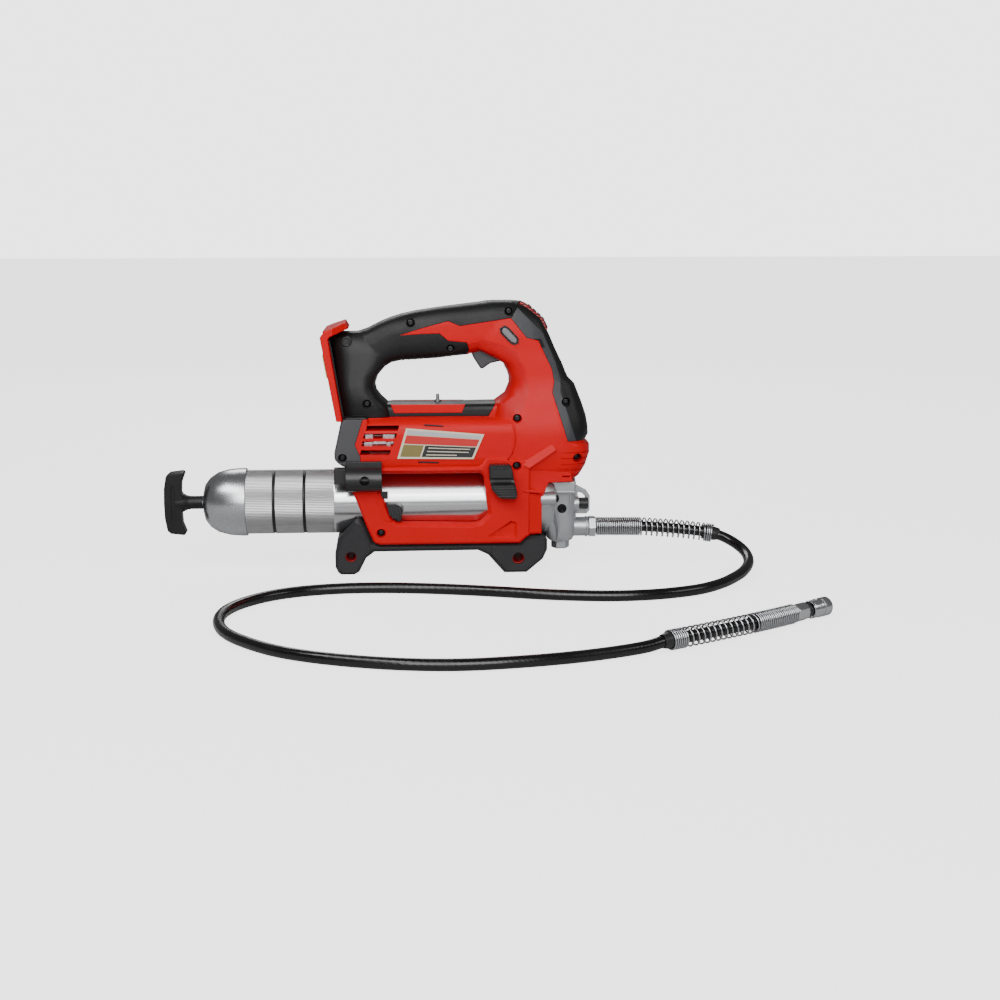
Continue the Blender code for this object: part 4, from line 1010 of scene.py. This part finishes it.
class GREASE_GUN_OT_coupler(bpy.types.Operator):
    """Turn the coupler, its sleeve and the hose nut"""
    bl_idname = "grease_gun.coupler"
    bl_label = "Coupler and Nut"

    def execute(self, context):
        along = Vector((math.cos(COUPLER_TURN), math.sin(COUPLER_TURN), 0.0))
        start = spot(*COUPLER_START)
        bm = bmesh.new()
        turned(bm, COUPLER_NUT, start, along, 6, ring=True)
        turned(bm, COUPLER_CORE, start, along, 40, ring=True)
        close_up(bm)
        body = settle("coupler_core", bm, BODY_OF["coupler_body"], "bright_steel",
                      slot=SLOT_OF["coupler_body"])
        round_edges(body, 0.00025, 2)
        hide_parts("coupler_body")
        bm = bmesh.new()
        turned(bm, COUPLER_SLEEVE, start, along, 48, ring=True)
        for k in range(COUPLER_PADS):
            turn = 2.0 * math.pi * k / COUPLER_PADS
            across = UP * math.cos(turn) + along.cross(UP) * math.sin(turn)
            side = along.cross(across)
            loops = [[bm.verts.new(start + (along * a + side * w + across * r) * MM)
                      for a, w in ((20.4, -0.9), (25.8, -0.9), (25.8, 0.9), (20.4, 0.9))] for r in (6.9, 7.6)]
            bridge(bm, loops)
        close_up(bm, 50.0)
        sleeve = settle("coupler_ribbed_sleeve", bm, BODY_OF["coupler_sleeve"], "bright_steel",
                        slot=SLOT_OF["coupler_sleeve"])
        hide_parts("coupler_sleeve")
        bm = bmesh.new()
        turned(bm, [(13.5, 6.22), (13.5, 6.45), (16.0, 6.45), (16.0, 6.22)], start, along, 36, ring=True)
        close_up(bm)
        settle("coupler_seal_band", bm, BODY_OF["coupler_body"], "black_nylon")
        refined("hose_nut", "bright_steel", 0.0005, 3)
        return {"FINISHED"}


# ---------------------------------------------------------------- moulded body

class GREASE_GUN_OT_shells(bpy.types.Operator):
    """Finish the red shells, the grip, the bumper and the end cap"""
    bl_idname = "grease_gun.shells"
    bl_label = "Moulded Body"

    def execute(self, context):
        settings = context.scene.grease_gun_finishes
        boss_arc = [(94.0 + r * math.cos(math.radians(a)), 121.0 + r * math.sin(math.radians(a)))
                    for r, angles in ((27.6, range(-42, 35, 6)), (26.7, range(30, -43, -6))) for a in angles]
        for side, way in zip(("left", "right"), SIDES):
            node = "housing_" + side
            bm = copy_of(node)
            cut = bmesh.new()
            tapered_slab(cut, grow(FRAME_WINDOW, -0.4), way * 33.2, grow(FRAME_WINDOW, WINDOW_CHAMFER + 0.6),
                         way * 38.0)
            slab(cut, boss_arc, way * 33.2, way * 40.0)
            for slot in SEAM_SLOTS:
                slab(cut, slot, way * 32.5, way * 40.0)
            for height in NOSE_RIBS:
                outer, inner = nose_ring(height, 0.9, 4.0)
                ring = outer + inner[::-1]
                prism(cut, [(x, y, height - 0.55) for x, y in ring], [(x, y, height + 0.55) for x, y in ring])
            tapered_slab(cut, CORNER_FLOOR, way * 34.9, CORNER_MOUTH, way * 37.6)
            bm = carved(bm, cut, "DIFFERENCE")
            # The neck's inner face takes the darker red, painted shade where it turns in.
            cut_along(bm, NECK_CREASE)
            paint_inside(bm, NECK_SHADE_PATCH, 1)
            finished_copy(bm, node, ("red_plastic", "neck_red"), settings.shell_edge)
            refined("grip_" + side, "black_rubber", settings.rubber_edge)
        bm = copy_of("front_bumper")
        cut_along(bm, BAND_LINE)
        paint_inside(bm, BUMPER_LINE[:-1] + [(160.0, 110.0), (180.0, 110.0)] + BAND_LINE[::-1], 1)
        finished_copy(bm, "front_bumper", ("black_rubber", "slate_rubber"), settings.rubber_edge)
        refined("battery_receiver", "red_plastic", settings.shell_edge)
        refined("motor_end_cap", "grey_plastic", settings.rubber_edge)
        bm, pads, eyes = copy_of("lower_boot"), bmesh.new(), bmesh.new()
        mirrored(pads, (REAR_PAD, FRONT_PAD), 32.0, 33.9)
        for x, z, radius in (REAR_EYE, FRONT_EYE):
            turned(eyes, [(-40.0, 0.0), (-40.0, radius), (40.0, radius), (40.0, 0.0)], spot(x, 0.0, z),
                   LEFT, 20)
        bm = carved(carved(bm, pads, "UNION"), eyes, "DIFFERENCE")
        finished_copy(bm, "lower_boot", ("boot_rubber",), 0.0005)
        refined("led_lens", "red_lens", 0.0004)
        return {"FINISHED"}


class GREASE_GUN_OT_trim(bpy.types.Operator):
    """Add the ribs, bars, inlays and bushings of the body"""
    bl_idname = "grease_gun.trim"
    bl_label = "Body Trim"

    def execute(self, context):
        bm = bmesh.new()
        for way in SIDES:
            outer = [(125.2, way * 36.4, 99.6), (133.0, way * 39.4, 95.6), (157.2, way * 38.2, 111.8),
                     (153.4, way * 35.2, 117.2)]
            prism(bm, [(x, way * 31.0, z) for x, y, z in outer], outer)
            ring = [(127.9, way * 32.0), (127.9, way * 37.05), (144.6, way * 33.1), (144.6, way * 32.0)]
            prism(bm, [(x, y, 36.6) for x, y in ring], [(x, y, 72.4) for x, y in ring])
            ledge = [(127.2, way * 36.0, 74.4), (127.2, way * 38.0, 74.4), (144.4, way * 37.0, 72.6),
                     (144.4, way * 32.5, 72.6)]
            prism(bm, ledge, [(x, y, z + 2.6) for x, y, z in ledge])
        plain_piece("brace_bars", bm, "red_plastic", 0.0006, segments=3)

        bm = bmesh.new()
        for way in SIDES:
            ring = [(-5.6, way * 36.9, 74.0), (1.0, way * 37.7, 74.0), (11.0, way * 37.7, 49.0),
                    (4.6, way * 36.9, 49.0)]
            prism(bm, [(x, way * 35.0, z) for x, y, z in ring], ring)
        plain_piece("strut_ridges", bm, "red_plastic", 0.0005)

        bm = bmesh.new()
        mirrored(bm, SLOT_FILLINGS, 32.0, 33.6)
        plain_piece("seam_slots", bm, "black_nylon", 0.0002)

        bm = bmesh.new()
        mirrored(bm, [[(11.8, 150.3), (77.6, 150.1), (74.6, 142.8), (14.8, 142.8)]], 14.4, 17.7)
        plain_piece("spine_inlays", bm, "red_plastic", 0.0005)

        bm = bmesh.new()
        turned(bm, [(0.0, 0.0), (0.0, 3.0), (1.6, 3.0), (2.0, 2.6), (2.0, 1.5), (6.6, 1.5), (7.2, 1.0),
                    (7.2, 0.0)], spot(53.6, 0.0, 150.6), UP, 20)
        plain_piece("spine_pin", bm, "gear_steel", 0.0001)

        bm = bmesh.new()
        slab(bm, [(-31.4, 139.0), (-29.4, 139.0), (-40.6, 207.5), (-42.4, 207.5)], -14.0, 14.0)
        plain_piece("receiver_gasket", bm, "black_nylon", 0.0001)

        bm = bmesh.new()
        for seam in SEAMS:
            strip = [(x - 0.9, z - 0.6) for x, z in seam] + [(x + 0.9, z + 0.6) for x, z in seam[::-1]]
            slab(bm, strip, -7.0, 7.0)
        plain_piece("seam_gaskets", bm, "black_nylon", 0.0001)

        bm = bmesh.new()
        for way in SIDES:
            turned(bm, [(0.0, 0.0), (0.0, 4.6), (1.5, 4.6), (2.0, 4.1), (2.0, 3.1), (1.1, 3.0), (1.1, 0.0)],
                   spot(-26.0, way * 16.4, 206.4), LEFT * way, 28)
        plain_piece("latch_pivots", bm, "black_nylon", 0.0002)
        bm = bmesh.new()
        starts = [(-31.4 + 2.3 * k, 217.4 + 0.95 * k) for k in range(3)]
        mirrored(bm, [[(x, z - 2.6), (x + 1.1, z - 2.2), (x + 0.1, z + 3.4), (x - 1.0, z + 3.0)]
                      for x, z in starts], 9.0, 20.6)
        plain_piece("rail_fins", bm, "red_plastic", 0.0003)

        lines = []
        for k in range(10):
            x = 18.0 + 5.2 * k
            low, high, half = 188.4 + (x - 22.0) * 0.075, 229.4 + (x - 22.0) * 0.16, 17.8
            reach = (high - low) / 2.0
            lines.append([spot(x, y, (high + low) / 2.0 - reach * (1.0 - abs(y / half) ** 2.9) ** (1.0 / 2.9))
                          for y in range(-14, 15, 2)])
        wire_piece("finger_ribs", lines, 0.0007, "body", "black_rubber")

        bm = bmesh.new()
        for x, z, radius in (REAR_EYE, FRONT_EYE):
            turned(bm, [(-30.5, radius - 0.9), (-30.5, radius + 0.02), (30.5, radius + 0.02),
                        (30.5, radius - 0.9)], spot(x, 0.0, z), LEFT, 28, ring=True)
        plain_piece("foot_bushings", bm, "deep_red", 0.0002)

        bm = bmesh.new()
        edge = [Vector(p) for p in ((134.6, 236.6), (146.9, 225.6), (151.2, 216.2))]
        for k in range(6):
            at = 0.04 + 0.33 * k
            start, end = (edge[0], edge[1]) if at < 1.0 else (edge[1], edge[2])
            at -= int(at)
            way = (end - start).normalized()
            out = Vector((-way.y, way.x))
            a = start.lerp(end, at)
            b = a + way * 2.6
            slab(bm, [tuple(a - out * 1.2), tuple(b - out * 1.2), tuple(b + out * 0.6), tuple(a + out * 0.9)],
                 -9.2, 9.2)
        plain_piece("lamp_guard_teeth", bm, "black_rubber", 0.0003)

        bm = bmesh.new()
        for way in SIDES:
            ring_slab(bm, grow(BUTTON, 0.45), grow(BUTTON, 1.5), way * 17.5, way * 20.6)
        plain_piece("button_surrounds", bm, "black_nylon", 0.0002)
        return {"FINISHED"}


class GREASE_GUN_OT_fittings(bpy.types.Operator):
    """Finish the clips, the controls and the label"""
    bl_idname = "grease_gun.fittings"
    bl_label = "Fittings"

    def execute(self, context):
        for node, finish, width in (
                ("rear_hose_clip", "black_nylon", 0.0008), ("front_hose_clip", "black_nylon", 0.0006),
                ("barrel_release_pad", "black_nylon", 0.0005), ("trigger", "grey_plastic", 0.0008),
                ("lock_button", "button_grey", 0.0005), ("terminal_block", "black_nylon", 0.0004),
                ("label_plate", "label_cream", 0.00008)):
            refined(node, finish, width)

        low_left, low_right, top_right, top_left = (Vector(c) for c in LABEL_CORNERS)
        bm = bmesh.new()
        names = sorted({field[0] for field in LABEL_FIELDS})
        for name, u0, u1, v0, v1 in LABEL_FIELDS:
            corners = [tuple(low_left.lerp(low_right, u).lerp(top_left.lerp(top_right, u), v))
                       for u, v in ((u0, v0), (u1, v0), (u1, v1), (u0, v1))]
            rise = 0.16 if name == "label_cream" else 0.1
            slab(bm, corners, -35.6, -35.7 - rise, names.index(name))
        close_up(bm)
        settle("label_fields", bm, "body", *names)

        bm = bmesh.new()
        for k in range(4):
            z = 72.4 + 2.3 * k
            slab(bm, [(104.6 - 1.3 * k, z), (120.4 - 0.1 * k, z), (120.4 - 0.1 * k, z + 1.1),
                      (104.2 - 1.3 * k, z + 1.1)], -49.6, -50.7)
        for k in range(5):
            x = 99.0 + 3.4 * k
            slab(bm, [(x, 97.0), (x + 1.6, 97.0), (x + 1.5, 100.9), (x - 0.1, 100.9)], -49.6, -50.5)
        tapered_slab(bm, RELEASE_KNOB, -31.0, grow(RELEASE_KNOB, -0.8), -38.2)
        slab(bm, [(1.6, 69.2), (8.3, 69.2), (8.6, 75.4), (2.0, 75.4)], -34.4, -31.0)
        slab(bm, box_outline(-38.4, -27.9, 83.6, 97.4), -39.6, -31.0)
        slab(bm, box_outline(-27.6, 3.3, 98.4, 103.0), -38.6, -34.0)
        plain_piece("clip_ribs_and_stops", bm, "black_nylon", 0.00035)

        # The knob's ribs take the paler grey rubber as a painted highlight on the black knob.
        bm = bmesh.new()
        for k in range(5):
            x = 7.4 + 2.45 * k
            top = 64.4 - 0.25 * k
            foot = 54.4 - 0.3 * (2 - k) ** 2 + 1.2
            slab(bm, [(x, top), (x + 1.0, top), (x + 3.4, foot), (x + 2.4, foot)], -37.6, -39.0)
        plain_piece("knob_ribs", bm, "slate_rubber", 0.0003)

        bm = bmesh.new()
        mirrored(bm, [box_outline(*sides) for sides in BRUSH_HOLDERS], 24.0, 27.6)
        plain_piece("brush_holders", bm, "bright_steel", 0.0003)

        bm = bmesh.new()
        for y in (-9.6, -3.2, 3.2, 9.6):
            slab(bm, [(-42.4, 173.0), (-44.6, 173.4), (-48.2, 193.6), (-46.0, 194.0)], y - 0.5, y + 0.5)
        plain_piece("terminal_blades", bm, "contact_brass", 0.0001)
        return {"FINISHED"}


class GREASE_GUN_OT_screws(bpy.types.Operator):
    """Drive the case screws into their counterbores"""
    bl_idname = "grease_gun.screws"
    bl_label = "Case Screws"

    def execute(self, context):
        bm = bmesh.new()
        for x, z, depth in SCREWS:
            turned(bm, [(0.0, 0.0), (0.0, 3.3), (0.8, 3.3), (1.6, 2.7), (2.0, 1.9), (2.0, 1.35), (0.9, 1.25),
                        (0.9, 0.0)], spot(x, -depth, z), -LEFT, 18)
        close_up(bm, 40.0)
        settle("case_screws", bm, "body", "dark_steel", slot="dark_steel")
        return {"FINISHED"}


# ---------------------------------------------------------------- barrel and pump

class GREASE_GUN_OT_barrel(bpy.types.Operator):
    """Turn the barrel with its lined bands, and its domed cap"""
    bl_idname = "grease_gun.barrel"
    bl_label = "Barrel and Cap"

    def execute(self, context):
        settings = context.scene.grease_gun_barrel
        radius = BARREL_R / MM
        inner = radius - 1.6
        back, front = BARREL_LOW.x / MM + DRAWING_X, BARREL_HIGH.x / MM + DRAWING_X
        centre = spot(0.0, 0.0, BARREL_AXIS.z / MM)
        groove = settings.groove_depth / MM
        profile = [(back, inner), (back, radius)]
        for low, high in BANDS:
            profile += [(low - 0.5, radius), (low, radius), (low + 0.01, radius), (high, radius),
                        (high + 0.5, radius - groove), (high + 2.0, radius - groove)]
        # No groove follows the last band.
        profile[-2:] = [(-39.0, radius), (-38.5, radius)]
        profile += [(front, radius), (front, inner)]
        steps = settings.flutes * 2
        bm = bmesh.new()
        turned(bm, profile, centre, steps=steps, ring=True)
        axis = Vector((0.0, BARREL_AXIS.y, BARREL_AXIS.z))
        for vert in bm.verts:
            x = vert.co.x / MM + DRAWING_X
            out = Vector((0.0, vert.co.y, vert.co.z)) - axis
            if out.length < BARREL_R - 0.0002:
                continue
            if any(low - 0.1 < x < high + 0.1 for low, high in BANDS):
                turn = round(math.atan2(out.y, out.z) / (2.0 * math.pi) * steps)
                if turn % 2:
                    vert.co = vert.co - out.normalized() * settings.flute_depth
        close_up(bm, 60.0)
        # The bands take the lined steel. Its darker, streaked colour is partly painted shade and glints of
        # the flutes.
        for face in bm.faces:
            x = face.calc_center_median().x / MM + DRAWING_X
            if any(low - 0.2 < x < high + 0.2 for low, high in BANDS):
                face.material_index = 1
                face.smooth = False
            elif BANDS[0][1] < x < BANDS[1][0] + 0.4 or BANDS[1][1] < x < BANDS[2][0] + 0.4:
                face.material_index = 2
        tube = settle("barrel_lined_tube", bm, BODY_OF["barrel_tube"], "barrel_steel", "lined_steel",
                      "dark_steel", slot=SLOT_OF["barrel_tube"])
        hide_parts("barrel_tube")
        refined("barrel_cap", "dome_steel", 0.0004, 2, angle=50.0)
        bm, cut = copy_of("t_handle"), bmesh.new()
        mirrored(cut, [HANDLE_HOLLOW], 7.1, 12.0)
        finished_copy(carved(bm, cut, "DIFFERENCE"), "t_handle", ("black_rubber",), 0.0006)
        return {"FINISHED"}


class GREASE_GUN_OT_pump(bpy.types.Operator):
    """Finish the cast pump head and its plugs"""
    bl_idname = "grease_gun.pump"
    bl_label = "Pump Head"

    def execute(self, context):
        bm, more = copy_of("pump_head"), bmesh.new()
        for way in SIDES:
            turned(more, [(0.0, 0.0), (0.0, 5.6), (0.8, 6.3), (13.6, 6.3), (14.2, 5.7), (14.2, 0.0)],
                   spot(143.4, way * 27.6, 66.4), AHEAD, 28)
        bm = carved(bm, more, "UNION")
        bowl = bmesh.new()
        loft(bowl, HEAD_BOWL, 2.6)
        bm = carved(bm, bowl, "UNION")
        finished_copy(bm, "pump_head", ("cast_aluminium",), 0.0007, 3)
        refined("valve_cap", "cast_aluminium", 0.0004, 2)
        bm = bmesh.new()
        low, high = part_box("side_plug")
        seat = Vector(((low.x + high.x) / 2.0, high.y, (low.z + high.z) / 2.0))
        turned(bm, [(0.0, 0.0), (0.0, 3.9), (3.0, 3.9), (3.4, 3.5), (3.4, 2.3), (1.4, 2.2), (1.4, 0.0)], seat,
               -LEFT, 28)
        turned(bm, [(1.2, 1.7), (1.2, 2.5), (3.2, 2.5), (3.2, 1.7)], seat, -LEFT, 6, ring=True)
        plug = plain_piece("side_plug_screw", bm, "black_oxide_steel", 0.0001)
        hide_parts("side_plug")
        refined("bleed_valve", "black_nylon", 0.0004)
        low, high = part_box("bleed_valve")
        middle = (low + high) / 2.0
        radius = (high.z - low.z) / 2.0
        lines = []
        for k in range(KNOB_FLUTES):
            turn = 2.0 * math.pi * k / KNOB_FLUTES
            lines.append([Vector((x, middle.y + radius * math.cos(turn), middle.z + radius * math.sin(turn)))
                          for x in (high.x - 0.0072, high.x - 0.0008)])
        wire_piece("bleed_knob_flutes", lines, 0.00035, BODY_OF["bleed_valve"], "black_nylon", 1)
        bm = bmesh.new()
        for way in SIDES:
            turned(bm, [(0.0, 0.0), (0.0, 3.4), (1.6, 3.4), (2.6, 2.6), (3.0, 1.4), (3.0, 0.0)],
                   spot(157.4, way * 27.6, 66.4), AHEAD, 28)
        plain_piece("relief_plug", bm, "black_oxide_steel", 0.0001)
        lines = [smooth_line([spot(x, way * y, z) for x, y, z in rib], 5)
                 for way in SIDES for rib in HEAD_RIBS]
        wire_piece("head_ribs", lines, 0.0011, BODY_OF["pump_head"], "cast_aluminium", 3)
        bm = bmesh.new()
        slab(bm, [(176.0, 49.0), (178.6, 46.8), (177.8, 30.0), (175.0, 24.0), (166.0, 19.4), (165.6, 22.4),
                  (172.6, 26.0), (175.2, 31.0), (176.0, 46.0)], -4.6, 4.6)
        turned(bm, [(0.0, 8.0), (0.0, 9.5), (1.8, 9.5), (1.8, 8.0)], spot(187.2, 0.0, 35.0), AHEAD,
               32, ring=True)
        slab(bm, [(158.6, 70.2), (176.0, 70.2), (176.2, 72.0), (158.6, 72.0)], -22.6, 22.6)
        plain_piece("head_web", bm, "cast_aluminium", 0.0005)
        return {"FINISHED"}


class GREASE_GUN_OT_inside(bpy.types.Operator):
    """Wind the inner springs and give the parts inside their finishes"""
    bl_idname = "grease_gun.inside"
    bl_label = "Inside Parts"

    def execute(self, context):
        for spring in SPRINGS:
            wound_spring(*spring)
        for node in frame["nodes"].values():
            if node.hide_render:
                continue
            finish = FINISHES[SLOT_OF[node.name]]
            for slot in node.material_slots:
                slot.material = finish
            if not node.material_slots:
                raise RuntimeError(node.name + " has no material slot")
        return {"FINISHED"}


# ---------------------------------------------------------------- stage

def seen_only(tree, away, seen, into):
    """One strength for what the camera sees directly and another for the light it sends on."""
    ray = tree.nodes.new("ShaderNodeLightPath")
    link(tree, span(tree, ray.outputs["Is Camera Ray"], away, seen), into)


class GREASE_GUN_OT_stage(bpy.types.Operator):
    """Set the camera, the floor and the lights"""
    bl_idname = "grease_gun.stage"
    bl_label = "Camera, Floor and Lights"

    def execute(self, context):
        settings = context.scene.grease_gun_stage
        target = spot(*TARGET)
        swing, rise = settings.swing, settings.rise
        ahead = Vector((-math.sin(swing) * math.cos(rise), math.cos(swing) * math.cos(rise), -math.sin(rise)))
        lens = bpy.data.cameras.new("camera")
        lens.lens = settings.lens
        lens.clip_start = 0.01
        camera = bpy.data.objects.new("camera", lens)
        camera.location = target - ahead * settings.distance
        camera.rotation_euler = ahead.to_track_quat("-Z", "Y").to_euler()
        context.scene.collection.objects.link(camera)
        context.scene.camera = camera

        bm = bmesh.new()
        bmesh.ops.create_grid(bm, x_segments=2, y_segments=2, size=FLOOR_REACH)
        floor = loose_object("floor", bm)
        floor.location = (0.0, 0.0, CAD_BOX[0].z - FLOOR_DROP)
        paint, tree, shader = new_material("floor_paper", Roughness=0.8)[:3]
        shader.inputs["Base Color"].default_value = (0.5, 0.5, 0.5, 1.0)
        shader.inputs["Emission Color"].default_value = (1.0, 1.0, 1.0, 1.0)
        seen_only(tree, 0.0, 2.3, shader.inputs["Emission Strength"])
        floor.data.materials.append(paint)

        world = bpy.data.worlds.new("studio")
        world.use_nodes = True
        tree = world.node_tree
        back = tree.nodes["Background"]
        back.inputs["Color"].default_value = (1.0, 1.0, 1.0, 1.0)
        seen_only(tree, 0.15, 3.2, back.inputs["Strength"])
        context.scene.world = world
        for name, place, size, power in LIGHTS:
            lamp = bpy.data.lights.new(name, "AREA")
            lamp.shape = "RECTANGLE"
            lamp.size = size
            lamp.size_y = size * LIGHT_SHAPE
            lamp.energy = power
            made = bpy.data.objects.new(name, lamp)
            made.location = place
            made.rotation_euler = (target - Vector(place)).to_track_quat("-Z", "Y").to_euler()
            context.scene.collection.objects.link(made)
        return {"FINISHED"}


class GREASE_GUN_OT_finishes(bpy.types.Operator):
    """Mix every finish"""
    bl_idname = "grease_gun.finishes"
    bl_label = "Finishes"

    def execute(self, context):
        make_finishes(context.scene.grease_gun_finishes)
        return {"FINISHED"}


class GREASE_GUN_OT_declare_hose(bpy.types.Operator):
    """A step that makes no change"""
    bl_idname = "grease_gun.declare_hose"
    bl_label = "Hose Facts"

    def execute(self, context):
        return {"FINISHED"}


BUILD_ORDER = ("finishes", "stage", "hose", "guards", "coupler", "shells", "trim", "fittings", "screws",
               "barrel", "pump", "inside", "declare_hose")


class GREASE_GUN_PT_panel(bpy.types.Panel):
    """Lists the pieces in the order they are made"""
    bl_label = "Grease Gun"
    bl_idname = "GREASE_GUN_PT_panel"
    bl_space_type = "VIEW_3D"
    bl_region_type = "UI"
    bl_category = "Grease Gun"

    def draw(self, context):
        for step in BUILD_ORDER:
            self.layout.operator("grease_gun." + step)


SETTINGS = {"grease_gun_finishes": FinishSettings, "grease_gun_barrel": BarrelSettings,
            "grease_gun_hose": HoseSettings, "grease_gun_stage": StageSettings}
CLASSES = (*SETTINGS.values(), GREASE_GUN_OT_finishes, GREASE_GUN_OT_stage, GREASE_GUN_OT_hose,
           GREASE_GUN_OT_guards, GREASE_GUN_OT_coupler, GREASE_GUN_OT_shells, GREASE_GUN_OT_trim,
           GREASE_GUN_OT_fittings, GREASE_GUN_OT_screws, GREASE_GUN_OT_barrel, GREASE_GUN_OT_pump,
           GREASE_GUN_OT_inside, GREASE_GUN_OT_declare_hose, GREASE_GUN_PT_panel)


def register():
    for item in CLASSES:
        bpy.utils.register_class(item)
    for name, item in SETTINGS.items():
        setattr(bpy.types.Scene, name, PointerProperty(type=item))


def unregister():
    for name in SETTINGS:
        delattr(bpy.types.Scene, name)
    for item in reversed(CLASSES):
        bpy.utils.unregister_class(item)


def main():
    register()
    for step in BUILD_ORDER:
        getattr(bpy.ops.grease_gun, step)()


if __name__ == "__main__":
    main()
